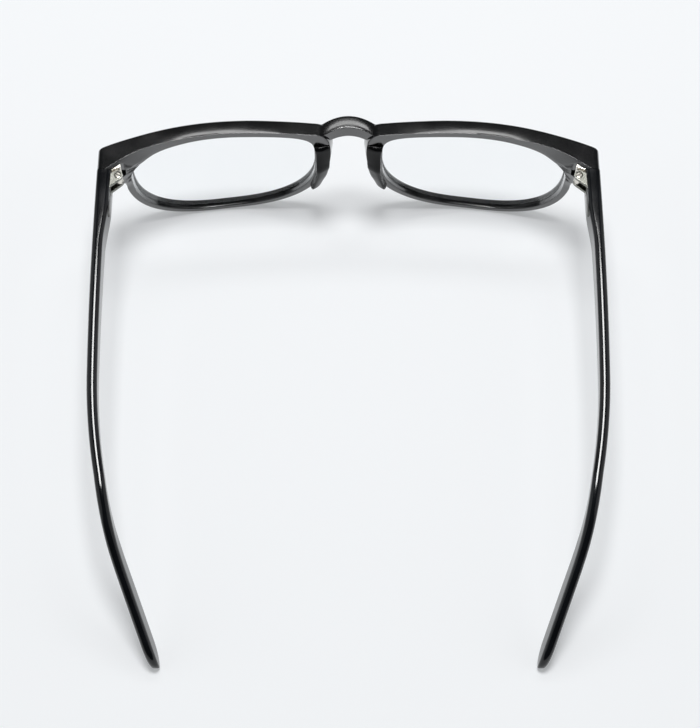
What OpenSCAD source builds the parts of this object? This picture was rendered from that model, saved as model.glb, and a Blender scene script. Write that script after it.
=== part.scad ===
// Square reading glasses: an acetate front with two magnifying lenses, and two sprung temples.
// Millimetres, Z up. The front faces +Y, the temples run back to -Y, the wearer's left is -X.
// The glasses rest open on the lower rims and the temple tips, at z = 0.

/* [Front] */
// Width over both endpieces
frame_width = 140; // [137:1:146]
// Lens width, tip of bevel to tip of bevel
lens_width = 53.5; // [51:0.5:54.5]
// Lens height, tip of bevel to tip of bevel
lens_height = 37.4; // [34:0.2:40]
// Distance between the two lenses
bridge_gap = 17.5; // [16.5:0.5:19]
// Height of the rim above the lens
upper_rim = 2.5; // [2.3:0.1:3.5]
// Height of the rim below the lens
lower_rim = 1.7; // [1.5:0.1:2.6]
// Width of the rim beside the lens, temple side
side_rim = 2.5; // [2.3:0.1:3.2]
// Width of the rim beside the lens, nose side
nose_rim = 4.7; // [4.3:0.1:5]
// Depth of the rims, front to back, at the brow
rim_depth = 4.9; // [4.4:0.1:5.4]
// Depth of the rims at the bottom
lower_depth = 3.0; // [2.8:0.1:4]
// Depth of the endpiece at the hinge
end_depth = 7.1; // [6.8:0.1:7.6]
// Plan radius of the front outside the brow's foremost point
face_radius = 98; // [92:1:120]
// Forward lean of the front over the resting plane, degrees
front_tilt = 8; // [5:0.5:11]

/* [Bridge] */
// Height of the bridge bar
bridge_height = 4.8; // [4:0.1:5.6]
// Depth of the bridge bar
bridge_depth = 4.0; // [3.4:0.1:4.2]
// How far the bridge's middle stands forward of its ends
bridge_forward = 1.85; // [1.4:0.05:2.4]
// How far the bridge's middle stands above its ends
bridge_rise = 1.4; // [1:0.1:2]

/* [Nose pads] */
// How far a pad's ridge stands out behind the rim
pad_back = 2.7; // [2.2:0.1:3]
// How far a pad stands out toward the nose near its foot
pad_out = 1.25; // [0.9:0.05:1.4]

/* [Lenses] */
// Thickness of a lens at its edge
lens_edge = 1.5; // [1.3:0.1:1.8]
// How much the front surface bulges over the edge line
lens_bulge = 1.2; // [0.8:0.1:1.8]
// Depth of the groove that holds the lens bevel
groove_depth = 0.85; // [0.7:0.05:1]
// Clearance round a lens
lens_clearance = 0.1; // [0.05:0.01:0.15]

/* [Temples] */
// Length of a temple along its curve
temple_length = 142; // [136:1:148]
// Length from the butt joint to the start of the bend
bend_start = 88; // [80:1:95]
// Radius of the bend behind the ear
bend_radius = 28; // [22:1:40]
// Height of a temple at the butt joint
temple_height = 10.2; // [9.5:0.1:11]
// Height of a temple where it bends
temple_waist = 5.8; // [5:0.1:7]
// Height of the paddle at the tip
paddle_height = 7.6; // [6:0.1:9]
// Thickness at the butt joint
temple_thick = 3.9; // [3.8:0.1:4.4]
// Thickness of the rest
temple_thin = 2.9; // [2.6:0.1:3.4]
// Downward slope of the straight part, degrees
temple_slope = 2.5; // [1:0.1:3.5]
// How far the tip curves in toward the head
tip_inset = 16.5; // [12:0.5:18]

/* [Hinge] */
// Pin axis, inward from the temple's outer face
pin_inset = 5.8; // [5.8:0.05:6.2]
// Pin axis, behind the butt joint
pin_setback = 1.3; // [1.2:0.05:1.5]
// Radius of the screw's shank
screw_radius = 0.65; // [0.55:0.05:0.75]
// Radial clearance of the screw in its bores
running_fit = 0.03; // [0.02:0.01:0.05]
// Radius of the ears round the screw
ear_radius = 1.4; // [1.35:0.05:1.6]
// Thickness of one ear
ear_thick = 1.2; // [1.1:0.1:1.4]
// Height of the front leaf's knuckle
knuckle_height = 2.5; // [2.2:0.1:2.8]
// Gap between ear and knuckle
ear_gap = 0.05; // [0.04:0.01:0.1]
// Gap at the butt joint when the temple stands at rest
butt_gap = 0.1; // [0.08:0.01:0.15]
// Outward flex of the spring hinge, degrees
flex_angle = 7.3; // [4:0.1:7.3]

/* [Hidden] */

acetate = [0.07, 0.07, 0.08];
nickel = [0.78, 0.74, 0.66];
steel = [0.72, 0.73, 0.75];
clear = [0.86, 0.92, 0.96];

// Front plane: x sideways, h up along the leaning front, D forward of it.
half_w = lens_width / 2 - groove_depth;
half_h = lens_height / 2 - groove_depth;
lens_x = (bridge_gap + lens_width) / 2;
end_x = frame_width / 2 - lens_x;
top_h = half_h + upper_rim;
brow_peak = lens_x - 7;
nose_radius = 220;
upright_radius = 400;
groove_mid = 1.45;
groove_half = 0.8;
inner_round = 0.45;
outer_round = 0.7;
wide_h = half_h / 3;
temple_square = 2.3;
nose_square = 6.5;
low_square = 2.5;

function plan(x) = let (s = abs(x) - brow_peak) -s * s / 2 / (s > 0 ? face_radius : nose_radius);
function sag(x, h) = plan(x) - h * h / 2 / upright_radius;
function lean(x, h, D) = [
    x,
    front_y + h * sin(front_tilt) + D * cos(front_tilt),
    front_z + h * cos(front_tilt) - D * sin(front_tilt)
];

// Lens opening, at angle f round its middle.
function reach(c, s, n) = pow(pow(abs(c), n) + pow(abs(s), n), -1 / n);
function opening(f) = let (
    c = cos(f),
    s = sin(f),
    r = reach(c, s, s < 0 ? low_square : c > 0 ? temple_square : nose_square),
    up = half_h - wide_h,
    down = (half_h + wide_h) * (1 + 0.1 * c - 0.08 * c * c) / 1.025
) [half_w * c * r, wide_h + (s > 0 ? up : down) * s * r];
function outward(f) = let (t = opening(f + 0.5) - opening(f - 0.5)) [t[1], -t[0]] / norm(t);

// Outer outline: an offset of the opening below, control rows round the endpiece and the brow above.
function low_width(f) = let (g = pow(abs(f - 270) / 90, f < 270 ? 4.5 : 7))
    lower_rim + ((f < 270 ? nose_rim : side_rim) - lower_rim) * g;
function low_depth(f) = lower_depth + (rim_depth - lower_depth) * pow(abs(f - 270) / 90, 2);
function low_row(f, g) = let (p = opening(f) + outward(f) * low_width(g))
    [f, p[0], p[1], low_depth(g), low_depth(g)];
brow_depth = rim_depth - 0.4;
rows = [
    low_row(-30, 330),
    low_row(-15, 345),
    [-6, half_w + 0.76 * side_rim, 0.14 * top_h, rim_depth - 0.2, rim_depth - 0.2],
    [2, end_x - 5.7, top_h - 13.9, rim_depth + 0.2, end_depth - 0.9],
    [9, end_x - 1.7, top_h - 11.4, rim_depth + 0.4, end_depth + 0.7],
    [15, end_x - 0.2, top_h - 8.9, rim_depth + 0.6, end_depth + 1.3],
    [21, end_x, top_h - 6.4, rim_depth + 0.6, end_depth + 1.3],
    [27, end_x - 0.05, top_h - 3.6, rim_depth + 0.6, end_depth + 1.3],
    [31.5, end_x - 0.55, top_h - 2.1, rim_depth + 0.5, end_depth + 1.2],
    [36, end_x - 2.5, top_h - 1.7, rim_depth + 0.4, end_depth + 0.8],
    [46, end_x - 11, top_h - 1.1, rim_depth, rim_depth + 0.5],
    [66, 11.5, top_h - 0.25, rim_depth, rim_depth],
    [90, 0, top_h, brow_depth + 0.2, brow_depth + 0.2],
    [104, -0.357 * half_w, top_h - 0.05, brow_depth + 0.1, brow_depth + 0.1],
    [120, -0.69 * half_w, top_h - 0.3, brow_depth, brow_depth],
    [130, -0.96 * half_w, top_h - 0.5, brow_depth - 0.1, brow_depth - 0.1],
    [136, -half_w - 0.48 * nose_rim, top_h - 0.8, brow_depth - 0.1, brow_depth - 0.1],
    [139, -half_w - 0.85 * nose_rim, top_h - 2.6, brow_depth - 0.1, brow_depth - 0.1],
    [142, -half_w - 1.06 * nose_rim, top_h - 4.6, brow_depth - 0.1, brow_depth - 0.1],
    [150, -half_w - 1.13 * nose_rim, top_h - 8.05, brow_depth, brow_depth],
    [165, -half_w - 1.08 * nose_rim, top_h - 11.75, brow_depth + 0.2, brow_depth + 0.2],
    low_row(180, 180),
    low_row(195, 195)
];
function row_after(f, i = 2) = f <= rows[i][0] || i == len(rows) - 2 ? i : row_after(f, i + 1);
function slope(i, k) = (rows[i + 1][k] - rows[i - 1][k]) / (rows[i + 1][0] - rows[i - 1][0]);
function blend(f, k) = let (
    j = row_after(f),
    i = j - 1,
    w = rows[j][0] - rows[i][0],
    t = (f - rows[i][0]) / w
) (2 * t * t * t - 3 * t * t + 1) * rows[i][k] + (t * t * t - 2 * t * t + t) * w * slope(i, k)
    + (3 * t * t - 2 * t * t * t) * rows[j][k] + (t * t * t - t * t) * w * slope(j, k);
function outer(f) = f <= 180 ? [blend(f, 1), blend(f, 2)] : opening(f) + outward(f) * low_width(f);
function inner_back(f) = f <= 180 ? blend(f, 3) : low_depth(f);
function outer_back(f) = f <= 180 ? blend(f, 4) : low_depth(f);

// The rim's nose side opens out toward the back by this much.
function ease(t) = let (c = max(0, min(1, t))) c * c * (3 - 2 * c);
function nose_flare(f) = 0.9 * ease((f - 134) / 10) * ease((215 - f) / 20);

// One section of the rim: m away from the lens, d back from the front face.
function rim_section(W, Ti, To, V) = [
    [inner_round, 0], [0.3 * inner_round, -0.3 * inner_round], [0, -inner_round],
    [0, groove_half - groove_mid], [groove_depth, -groove_mid], [0, -groove_half - groove_mid],
    [0, inner_round - Ti], [0.3 * inner_round, 0.3 * inner_round - Ti], [inner_round, -Ti],
    [0.35 * W, -(To + Ti + (To - Ti) * 0.9) / 2],
    [W - V - outer_round, -To], [W - V - 0.3 * outer_round, 0.3 * outer_round - To],
    [W - V, outer_round - To],
    [W, -outer_round], [W - 0.3 * outer_round, -0.3 * outer_round], [W - outer_round, 0]
];
function rim_point(f, md, square = false) = let (
    o = opening(f),
    u = outer(f),
    p = o + (square ? outward(f) : (u - o) / norm(u - o)) * md[0]
) [lens_x + p[0], p[1], md[1]];
section_size = 16;
function on_front(p) = lean(p[0], p[1], sag(p[0], p[1]) + p[2]);
pad_angles = concat(
    [143, 144.2, 146.5, 150.5], [for (f = [156 : 6 : 192]) f], [197.5, 202, 205.5, 208, 209.5, 210.3]
);
ring_angles = concat(
    [for (f = [-15 : 5 : 20]) f], [for (f = [23 : 3 : 38]) f], [for (f = [42 : 5.5 : 125]) f],
    [129, 132, 134.5, 136.5, 138.5, 140.5], pad_angles, [for (f = [214.5 : 5.5 : 342]) f]
);
ring = [
    for (f = ring_angles)
        let (section = rim_section(norm(outer(f) - opening(f)), inner_back(f), outer_back(f), nose_flare(f)))
            for (i = [0 : section_size - 1]) rim_point(f, section[i], i == 4)
];

// Seat the lowest rim on z = 0.
front_z = -min([for (p = ring) p[1] * cos(front_tilt) - (sag(p[0], p[1]) + p[2]) * sin(front_tilt)]);

// Butt joint and pin axis, measured from the front's own origin, then moved with it.
corner_x = frame_width / 2;
butt_dy = (top_h - 2) * sin(front_tilt) + plan(corner_x) * cos(front_tilt) - end_depth;
butt_top = front_z + (top_h - 1.9) * cos(front_tilt)
    - (butt_dy - (top_h - 1.9) * sin(front_tilt)) * tan(front_tilt) - 0.1;
pin_x = corner_x - pin_inset;
stack = knuckle_height + 2 * ear_thick + 2 * ear_gap;
pin_z = butt_top - 1.2 - stack / 2;

// Temple path, from the butt joint back: [distance, station angle].
temple_z = butt_top - temple_height / 2;
inset_start = 0.42 * temple_length;
inset_line = 0.8 * temple_length;
inset_k = tip_inset / (pow(inset_line - inset_start, 2)
    + 2 * (inset_line - inset_start) * (temple_length - inset_line));
function inset(s) = s < inset_start ? 0
    : s < inset_line ? inset_k * pow(s - inset_start, 2)
    : inset_k * (pow(inset_line - inset_start, 2) + 2 * (inset_line - inset_start) * (s - inset_line));
function turn(s, drop) = s < 2 ? 0
    : s < bend_start ? temple_slope
    : min(drop, temple_slope + (s - bend_start) / bend_radius * 180 / PI);
function side_path(s, drop) = let (
    a = temple_slope,
    arc_end = bend_start + (drop - a) * PI / 180 * bend_radius,
    e = min(s, arc_end),
    t = a + max(0, e - bend_start) / bend_radius * 180 / PI,
    s0 = min(s, bend_start),
    rest = max(0, s - arc_end)
) [
    -s0 * cos(a) - bend_radius * (sin(t) - sin(a)) - rest * cos(drop),
    -s0 * sin(a) - bend_radius * (cos(a) - cos(t)) - rest * sin(drop)
];
function thick(s) = temple_thick + (temple_thin - temple_thick) * ease((s - 9) / 13);
function tall(s) = temple_height + (temple_waist - temple_height) * ease(s / bend_start / 1.05)
    + (paddle_height - temple_waist) * ease((s - bend_start) / (temple_length - bend_start) * 1.5);
temple_bow = 0.8;
cap = 7;
function cap_scale(s) = let (t = (s - temple_length + cap) / cap) t <= 0 ? 1 : sqrt(max(0, 1 - t * t));
temple_stations = concat(
    [0, 2, 6, 10, 14, 18, 23, 30, 38, 46, 54, 62, 70, 77, 83],
    [for (i = [0 : 13]) bend_start + (temple_length - cap - bend_start) * i / 13],
    [for (t = [0.3, 0.55, 0.75, 0.9, 0.975]) temple_length - cap + cap * t]
);
temple_round = 1.25;
corner_steps = 3;
section_points = 4 * (corner_steps + 1);
function temple_section(w, h) = let (r = min(temple_round, w * 0.86, h * 0.7)) [
    for (k = [0 : 3])
        for (i = [0 : corner_steps])
            let (a = 90 * (k + i / corner_steps))
                [(k == 0 || k == 3 ? w - r : r - w) + r * cos(a), (k < 2 ? h - r : r - h) + r * sin(a)]
];
function temple_points(drop) = [
    for (s = temple_stations)
        let (
            c = side_path(s, drop),
            a = turn(s, drop),
            k = cap_scale(s),
            w = thick(s) / 2,
            x = corner_x + temple_bow * sin(180 * min(1, s / bend_start)) - inset(s) - w
        )
        for (p = temple_section(w * (0.45 + 0.55 * k), tall(s) / 2 * k))
            [x + p[0], c[0] + p[1] * sin(-a), temple_z + c[1] + p[1] * cos(a)]
];
// The drop angle that brings the tip down to z = 0.
function tip_low(drop) = min([for (p = temple_points(drop)) p[2]]);
function find_drop(lo, hi, n) = n == 0 ? (lo + hi) / 2
    : tip_low((lo + hi) / 2) > 0 ? find_drop((lo + hi) / 2, hi, n - 1) : find_drop(lo, (lo + hi) / 2, n - 1);
drop_angle = find_drop(15, 65, 22);
temple_raw = temple_points(drop_angle);

// Middle of the bounding box in Y becomes y = 0.
ring_dy = max([for (p = ring) p[1] * sin(front_tilt) + (sag(p[0], p[1]) + p[2]) * cos(front_tilt)]);
bridge_half = 7.4;
bridge_round = 0.6;
bridge_drop = 1.1;
bridge_sink = 0.05;
bridge_dy = (top_h - bridge_drop + bridge_rise - bridge_round) * sin(front_tilt)
    + (plan(bridge_half) - bridge_sink + bridge_forward) * cos(front_tilt);
tail_dy = butt_dy - butt_gap + min([for (p = temple_raw) p[1]]);
front_y = -(max(ring_dy, bridge_dy) + tail_dy) / 2;
butt_y = front_y + butt_dy;
pin_y = butt_y - pin_setback;
leaf_angle = -atan((corner_x - pin_inset - brow_peak) / face_radius);

// Travel that lets the temple swing on the butt's outer edge.
butt_lever = pin_setback - butt_gap;
slide_travel = (pin_inset * sin(flex_angle) + butt_lever * cos(flex_angle) - butt_lever) / cos(flex_angle);

// Faces of a closed loop of n sections of m points, and of an open one with flat ends.
function loop_faces(n, m) = [
    for (i = [0 : n - 1])
        for (j = [0 : m - 1])
            let (a = i, b = (i + 1) % n, k = (j + 1) % m)
                each [[a * m + j, a * m + k, b * m + k], [a * m + j, b * m + k, b * m + j]]
];
function tube_faces(n, m) = concat(
    [
        for (i = [0 : n - 2])
            for (j = [0 : m - 1])
                let (b = i + 1, k = (j + 1) % m)
                    each [[i * m + j, i * m + k, b * m + k], [i * m + j, b * m + k, b * m + j]]
    ],
    [[for (j = [m - 1 : -1 : 0]) j], [for (j = [0 : m - 1]) (n - 1) * m + j]]
);
function flip(faces) = [for (f = faces) [for (i = [len(f) - 1 : -1 : 0]) f[i]]];

module other_side() {
    mirror([1, 0, 0]) children();
}

module half_ring() {
    polyhedron(
        [for (p = ring) on_front(p)],
        flip(loop_faces(len(ring_angles), section_size)), convexity = 10
    );
}

// Bridge bar: an arch between the two rims, in front and up.
bridge_end = lens_x - half_w - 0.6;
bridge_steps = 22;
bridge_points = [
    for (i = [0 : bridge_steps])
        let (
            x = -bridge_end + 2 * bridge_end * i / bridge_steps,
            c = max(0, 1 - pow(x / bridge_half, 2)),
            D = plan(bridge_half) - bridge_sink + bridge_forward * c,
            h = top_h - bridge_drop + bridge_rise * c,
            T = bridge_depth + 0.35 * (1 - c),
            H = bridge_height,
            r = bridge_round
        )
        for (p = [
            [0, -r], [-0.3 * r, -0.3 * r], [-r, 0], [r - T, -0.35], [0.3 * r - T, -0.35 - 0.3 * r],
            [-T, -0.35 - r], [-T, r - H], [0.3 * r - T, 0.3 * r - H], [r - T, -H], [-r, -H],
            [-0.3 * r, 0.3 * r - H], [0, r - H]
        ])
            lean(x, h + p[1], D + p[0])
];
module bridge_bar() {
    polyhedron(bridge_points, flip(tube_faces(bridge_steps + 1, 12)), convexity = 6);
}

// Places a child in the hinge frame: origin on the pin axis, at the hinge's mid height.
module at_pin() {
    translate([pin_x, pin_y, pin_z]) children();
}
module rounded_block(lo, hi, r) {
    hull() {
        for (x = [lo[0] + r, hi[0] - r])
            for (z = [lo[2] + r, hi[2] - r])
                translate([x, lo[1], z])
                    rotate([-90, 0, 0]) cylinder(h = hi[1] - lo[1], r = r, $fn = 16);
    }
}

// Front leaf: plate let into the back of the endpiece, two anchor pegs, one knuckle.
leaf_face = ear_radius + 0.6;
leaf_plate = 0.8;
leaf_in = 1.6;
leaf_out = 1.85;
leaf_slot = 1.1;
peg_x = 0.15;
leaf_half = stack / 2 + 0.3;
leaf_fit = 0.04;
peg_radius = 0.55;
peg_length = 1.6;
peg_z = leaf_half - 1.3;
module leaf_pocket() {
    at_pin() rotate([0, 0, leaf_angle]) {
        rounded_block(
            [-leaf_in - leaf_slot, leaf_face - 1.6, -leaf_half - leaf_fit],
            [leaf_out + leaf_fit, leaf_face + leaf_plate + leaf_fit, leaf_half + leaf_fit], 0.1
        );
        for (z = [-peg_z, peg_z])
            hull() {
                translate([peg_x, leaf_face + 0.1, z]) rotate([-90, 0, 0])
                    cylinder(h = 0.1, r = peg_radius + leaf_fit, $fn = 16);
                translate([peg_x, leaf_face + leaf_plate + peg_length, z]) rotate([-90, 0, 0])
                    cylinder(h = 0.05, r = peg_radius + leaf_fit, $fn = 16);
            }
    }
}
// Everything behind the butt plane is cut away from the endpiece.
module butt_cut() {
    hull() {
        translate([pin_x - 14, butt_y - 12, pin_z - 30]) cube([30, 12, 60]);
    }
}

module front_frame() {
    color(acetate)
        difference() {
            union() {
                half_ring();
                other_side() half_ring();
                bridge_bar();
            }
            butt_cut();
            other_side() butt_cut();
            leaf_pocket();
            other_side() leaf_pocket();
        }
}

// Lens: a bevelled edge in the groove and two bulged faces.
lens_scales = [0.35, 0.75, 1];
function lens_ring(m, d, bulge, k) = [
    for (f = ring_angles)
        let (p = (opening(f) + outward(f) * m) * k)
            lean(lens_x + p[0], p[1], sag(lens_x + p[0], p[1]) + d - groove_mid + bulge * (1 - k * k))
];
lens_points = concat(
    [for (k = lens_scales) each lens_ring(-lens_clearance, lens_edge / 2, lens_bulge, k)],
    lens_ring(groove_depth - lens_clearance, 0, 0, 1),
    [for (i = [2, 1, 0]) each lens_ring(-lens_clearance, -lens_edge / 2, lens_bulge / 2, lens_scales[i])]
);
module lens() {
    color(clear)
        polyhedron(lens_points, flip(tube_faces(7, len(ring_angles))), convexity = 6);
}
module right_lens() {
    lens();
}
module left_lens() {
    other_side() lens();
}

// Nose pad: a wedge behind the rim that widens toward the face, from a blunt top to a free tip.
pad_last = len(pad_angles) - 1;
pad_fit = 0.04;
pad_size = 12;
pad_points = [
    for (f = pad_angles)
        let (
            t = (f - pad_angles[0]) / (pad_angles[pad_last] - pad_angles[0]),
            start = sqrt(1 - pow(max(0, 1 - t / 0.05), 2)),
            stop = sqrt(max(0, 1 - pow(max(0, t - 0.92) / 0.08, 2))),
            V = nose_flare(f),
            A = norm(outer(f) - opening(f)) - V,
            T = outer_back(f),
            r = outer_round,
            q = pad_fit,
            wrap = ease((t - 0.3) / 0.3),
            edge = 0.5 * T * wrap + (T - r - 0.05) * (1 - wrap),
            lift = V / (T - 2 * r),
            b = 0.12 + (0.52 + 0.48 * ease(t / 0.6)) * pad_back * min(start, stop),
            n = 0.1 + pad_out * ease((t - 0.46) / 0.32) * stop,
            k = 0.75 + 0.6 * pow(max(0, t - 0.8) / 0.2, 2)
        )
        for (md = [
            [A - r, -T - q], [A - 0.3 * r + 0.7 * q, 0.3 * r - T - 0.7 * q], [A + q, r - T],
            [A + lift * (T - r - edge) + q, -edge], [A + lift * (T - r - edge - 0.35) + 0.65 * n, -edge - 0.35],
            [A + n, 0.15 - T], [A + 0.8 * n, -T - 0.3 * b], [0.62 * A + 0.38 * k + 0.35 * n, -T - 0.72 * b],
            [0.3 * A + 0.7 * k, -T - 0.97 * b], [k, -T - b], [k - 0.3, -T - 0.8 * b], [k - 0.4, -T - q]
        ])
            on_front(rim_point(f, md))
];
module nose_pad() {
    color(acetate)
        polyhedron(pad_points, tube_faces(pad_last + 1, pad_size), convexity = 8);
}
module right_nose_pad() {
    nose_pad();
}
module left_nose_pad() {
    other_side() nose_pad();
}

module front_leaf() {
    color(nickel)
        at_pin()
            difference() {
                union() {
                    translate([0, 0, -knuckle_height / 2])
                        cylinder(h = knuckle_height, r = ear_radius - 0.1, $fn = 48);
                    rotate([0, 0, leaf_angle]) {
                        translate([-1.2, 0, -knuckle_height / 2])
                            cube([2.3, leaf_face + 0.1, knuckle_height]);
                        translate([-leaf_in, leaf_face, -leaf_half])
                            cube([leaf_in + leaf_out, leaf_plate, 2 * leaf_half]);
                        for (z = [-peg_z, peg_z])
                            translate([peg_x, leaf_face + leaf_plate / 2, z])
                                rotate([-90, 0, 0])
                                    cylinder(h = leaf_plate / 2 + peg_length, r = peg_radius, $fn = 24);
                    }
                }
                translate([0, 0, -knuckle_height])
                    cylinder(h = 2 * knuckle_height, r = screw_radius + running_fit, $fn = 32);
            }
}
module right_front_hinge_leaf() {
    front_leaf();
}
module left_front_hinge_leaf() {
    other_side() front_leaf();
}

// Screw: slotted head sunk in the upper ear, plain shank through ears and knuckle.
head_radius = 0.95;
head_height = 0.5;
head_sink = 0.06;
head_fit = 0.05;
module hinge_screw() {
    color(steel)
        at_pin()
            difference() {
                union() {
                    translate([0, 0, -stack / 2 + 0.05])
                        cylinder(h = stack - 0.2 - head_sink, r = screw_radius, $fn = 32);
                    translate([0, 0, stack / 2 - head_sink - head_height])
                        cylinder(h = head_height, r = head_radius, $fn = 40);
                }
                rotate([0, 0, 30])
                    translate([-2, -0.13, stack / 2 - head_sink - 0.24]) cube([4, 0.26, 1]);
            }
}
module right_hinge_screw() {
    hinge_screw();
}
module left_hinge_screw() {
    other_side() hinge_screw();
}

// Slider: two triangular ears on a web, and the rod that pulls on the spring.
face_u = pin_inset - temple_thick;
web_in = face_u + 0.05;
web_out = web_in + 2.05;
web_front = -0.7;
web_back = -5.3;
rod_u = web_in + 1.4;
rod_radius = 0.55;
rod_end = -10.7;
rod_head = 1.0;
bore_radius = 1.05;
function tangent(q, r, side) = atan2(q[1], q[0]) + side * acos(r / norm(q));
ear_front = [web_in + 0.5, web_front + pin_setback - 0.35];
ear_rear = [web_in + 0.5, web_back + pin_setback + 0.15];
ear_from = tangent(ear_front, ear_radius, 1);
ear_to = tangent(ear_rear, ear_radius, -1) + 360;
ear_steps = 24;
module ear_outline() {
    polygon(concat(
        [
            for (i = [0 : ear_steps])
                let (a = ear_from + (ear_to - ear_from) * i / ear_steps) ear_radius * [cos(a), sin(a)]
        ],
        [ear_rear, ear_front]
    ));
}
module hinge_slider() {
    y0 = pin_setback;
    color(nickel)
        at_pin()
            difference() {
                union() {
                    for (z = [-stack / 2, stack / 2 - ear_thick])
                        translate([0, 0, z]) linear_extrude(height = ear_thick) ear_outline();
                    translate([web_in, web_back + y0, -stack / 2])
                        cube([web_out - web_in, web_front - web_back, stack]);
                    translate([rod_u, web_back + y0 + 0.1, 0])
                        rotate([90, 0, 0])
                            cylinder(h = web_back + 0.1 - rod_end, r = rod_radius, $fn = 32);
                    translate([rod_u, rod_end + rod_head + y0, 0])
                        rotate([90, 0, 0]) cylinder(h = rod_head, r = 0.95, $fn = 32);
                }
                translate([0, 0, -stack])
                    cylinder(h = 2 * stack, r = screw_radius + running_fit, $fn = 32);
                translate([0, 0, stack / 2 - head_sink - head_height - 0.05])
                    cylinder(h = 2, r = head_radius + head_fit, $fn = 40);
            }
}
module right_hinge_slider() {
    hinge_slider();
}
module left_hinge_slider() {
    other_side() hinge_slider();
}

// Spring box: let into the temple's inner face, with the spring, its retainer and the rod inside.
box_front = -6.0;
box_back = -12.4;
box_in = face_u + 0.1;
box_out = rod_u + bore_radius + 0.25;
box_half = 1.7;
module spring_housing() {
    y0 = pin_setback;
    color(nickel)
        at_pin()
            difference() {
                rounded_block([box_in, box_back + y0, -box_half], [box_out, box_front + y0, box_half], 0.5);
                translate([rod_u, box_front + y0 + 1, 0])
                    rotate([90, 0, 0])
                        cylinder(h = box_front + 1 - box_back - 0.8, r = bore_radius, $fn = 40);
            }
}
module right_spring_housing() {
    spring_housing();
}
module left_spring_housing() {
    other_side() spring_housing();
}

ring_front = -6.3;
ring_back = -7.1;
module spring_retainer() {
    y0 = pin_setback;
    color(steel)
        at_pin()
            translate([rod_u, ring_front + y0, 0])
                rotate([90, 0, 0])
                    difference() {
                        cylinder(h = ring_front - ring_back, r = bore_radius - 0.02, $fn = 40);
                        translate([0, 0, -1])
                            cylinder(h = 4, r = rod_radius + 0.06, $fn = 32);
                    }
}
module right_spring_retainer() {
    spring_retainer();
}
module left_spring_retainer() {
    other_side() spring_retainer();
}

// Coil spring between the retainer and the rod's head.
coil_turns = 5;
coil_steps = 15;
coil_wire = 0.12;
coil_radius = 0.8;
coil_length = rod_end + rod_head - ring_back;
coil_points = [
    for (i = [0 : coil_turns * coil_steps])
        let (
            a = 360 * i / coil_steps,
            y = ring_back - coil_wire - 0.02
                + (coil_length + 2 * coil_wire + 0.04) * i / (coil_turns * coil_steps)
        )
        for (j = [0 : 5])
            let (r = coil_radius + coil_wire * cos(60 * j))
                [rod_u + r * cos(a), y + pin_setback + coil_wire * sin(60 * j), r * sin(a)]
];
module hinge_spring() {
    color(steel)
        at_pin()
            polyhedron(coil_points, flip(tube_faces(coil_turns * coil_steps + 1, 6)), convexity = 8);
}
module right_hinge_spring() {
    hinge_spring();
}
module left_hinge_spring() {
    other_side() hinge_spring();
}

// Core wire: a straight length inside the temple, behind the spring box.
wire_radius = 0.6;
wire_from = 14;
wire_to = 76;
function mid_x(s) = corner_x + temple_bow * sin(180 * min(1, s / bend_start)) - inset(s) - thick(s) / 2;
function mid_point(s) = let (c = side_path(s, drop_angle))
    [mid_x(s), butt_y - butt_gap + c[0], temple_z + c[1]];
wire_a = [0.3 * mid_x(wire_from) + 0.7 * mid_x(40), mid_point(wire_from)[1], mid_point(wire_from)[2]];
wire_b = [mid_x(wire_to) + 0.35, mid_point(wire_to)[1], mid_point(wire_to)[2]];
module wire_shape(r, extra) {
    d = wire_b - wire_a;
    length = norm(d);
    translate(wire_a)
        rotate([0, acos(d[2] / length), atan2(d[1], d[0])])
            translate([0, 0, -extra]) cylinder(h = length + extra + 0.1, r = r, $fn = 32);
}
module core_wire() {
    color(steel) wire_shape(wire_radius, 0);
}
module right_core_wire() {
    core_wire();
}
module left_core_wire() {
    other_side() core_wire();
}

module temple() {
    y0 = pin_setback;
    cut = 0.05;
    color(acetate)
        difference() {
            polyhedron(
                [for (p = temple_raw) p + [0, butt_y - butt_gap, 0]],
                flip(tube_faces(len(temple_stations), section_points)), convexity = 8
            );
            at_pin() {
                translate([face_u - 1, web_back + y0 - 0.45, -stack / 2 - 0.1])
                    cube([web_out - face_u + 1.1, 6, stack + 0.2]);
                translate([face_u - 1, box_back + y0 - cut, -box_half - cut])
                    cube([box_out - face_u + 1 + cut, box_front - box_back + 1, 2 * box_half + 2 * cut]);
            }
            wire_shape(wire_radius + 0.03, 1.8);
        }
}
module right_temple() {
    temple();
}
module left_temple() {
    other_side() temple();
}

front_frame();
left_lens();
right_lens();
left_nose_pad();
right_nose_pad();
left_front_hinge_leaf();
right_front_hinge_leaf();
left_hinge_screw();
right_hinge_screw();
left_hinge_slider();
right_hinge_slider();
left_spring_housing();
right_spring_housing();
left_hinge_spring();
right_hinge_spring();
left_spring_retainer();
right_spring_retainer();
left_temple();
right_temple();
left_core_wire();
right_core_wire();
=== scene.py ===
"""Square reading glasses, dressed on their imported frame.

Sizes in the classes are millimetres. Meshes are written in metres in the frame's axes: Z up, the
front faces +Y, the temples run back to -Y, and the wearer's left is -X.
"""

import logging
import math
from contextlib import contextmanager
from dataclasses import dataclass, field
from enum import Enum
from typing import Iterator, Optional, Sequence, Union

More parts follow.
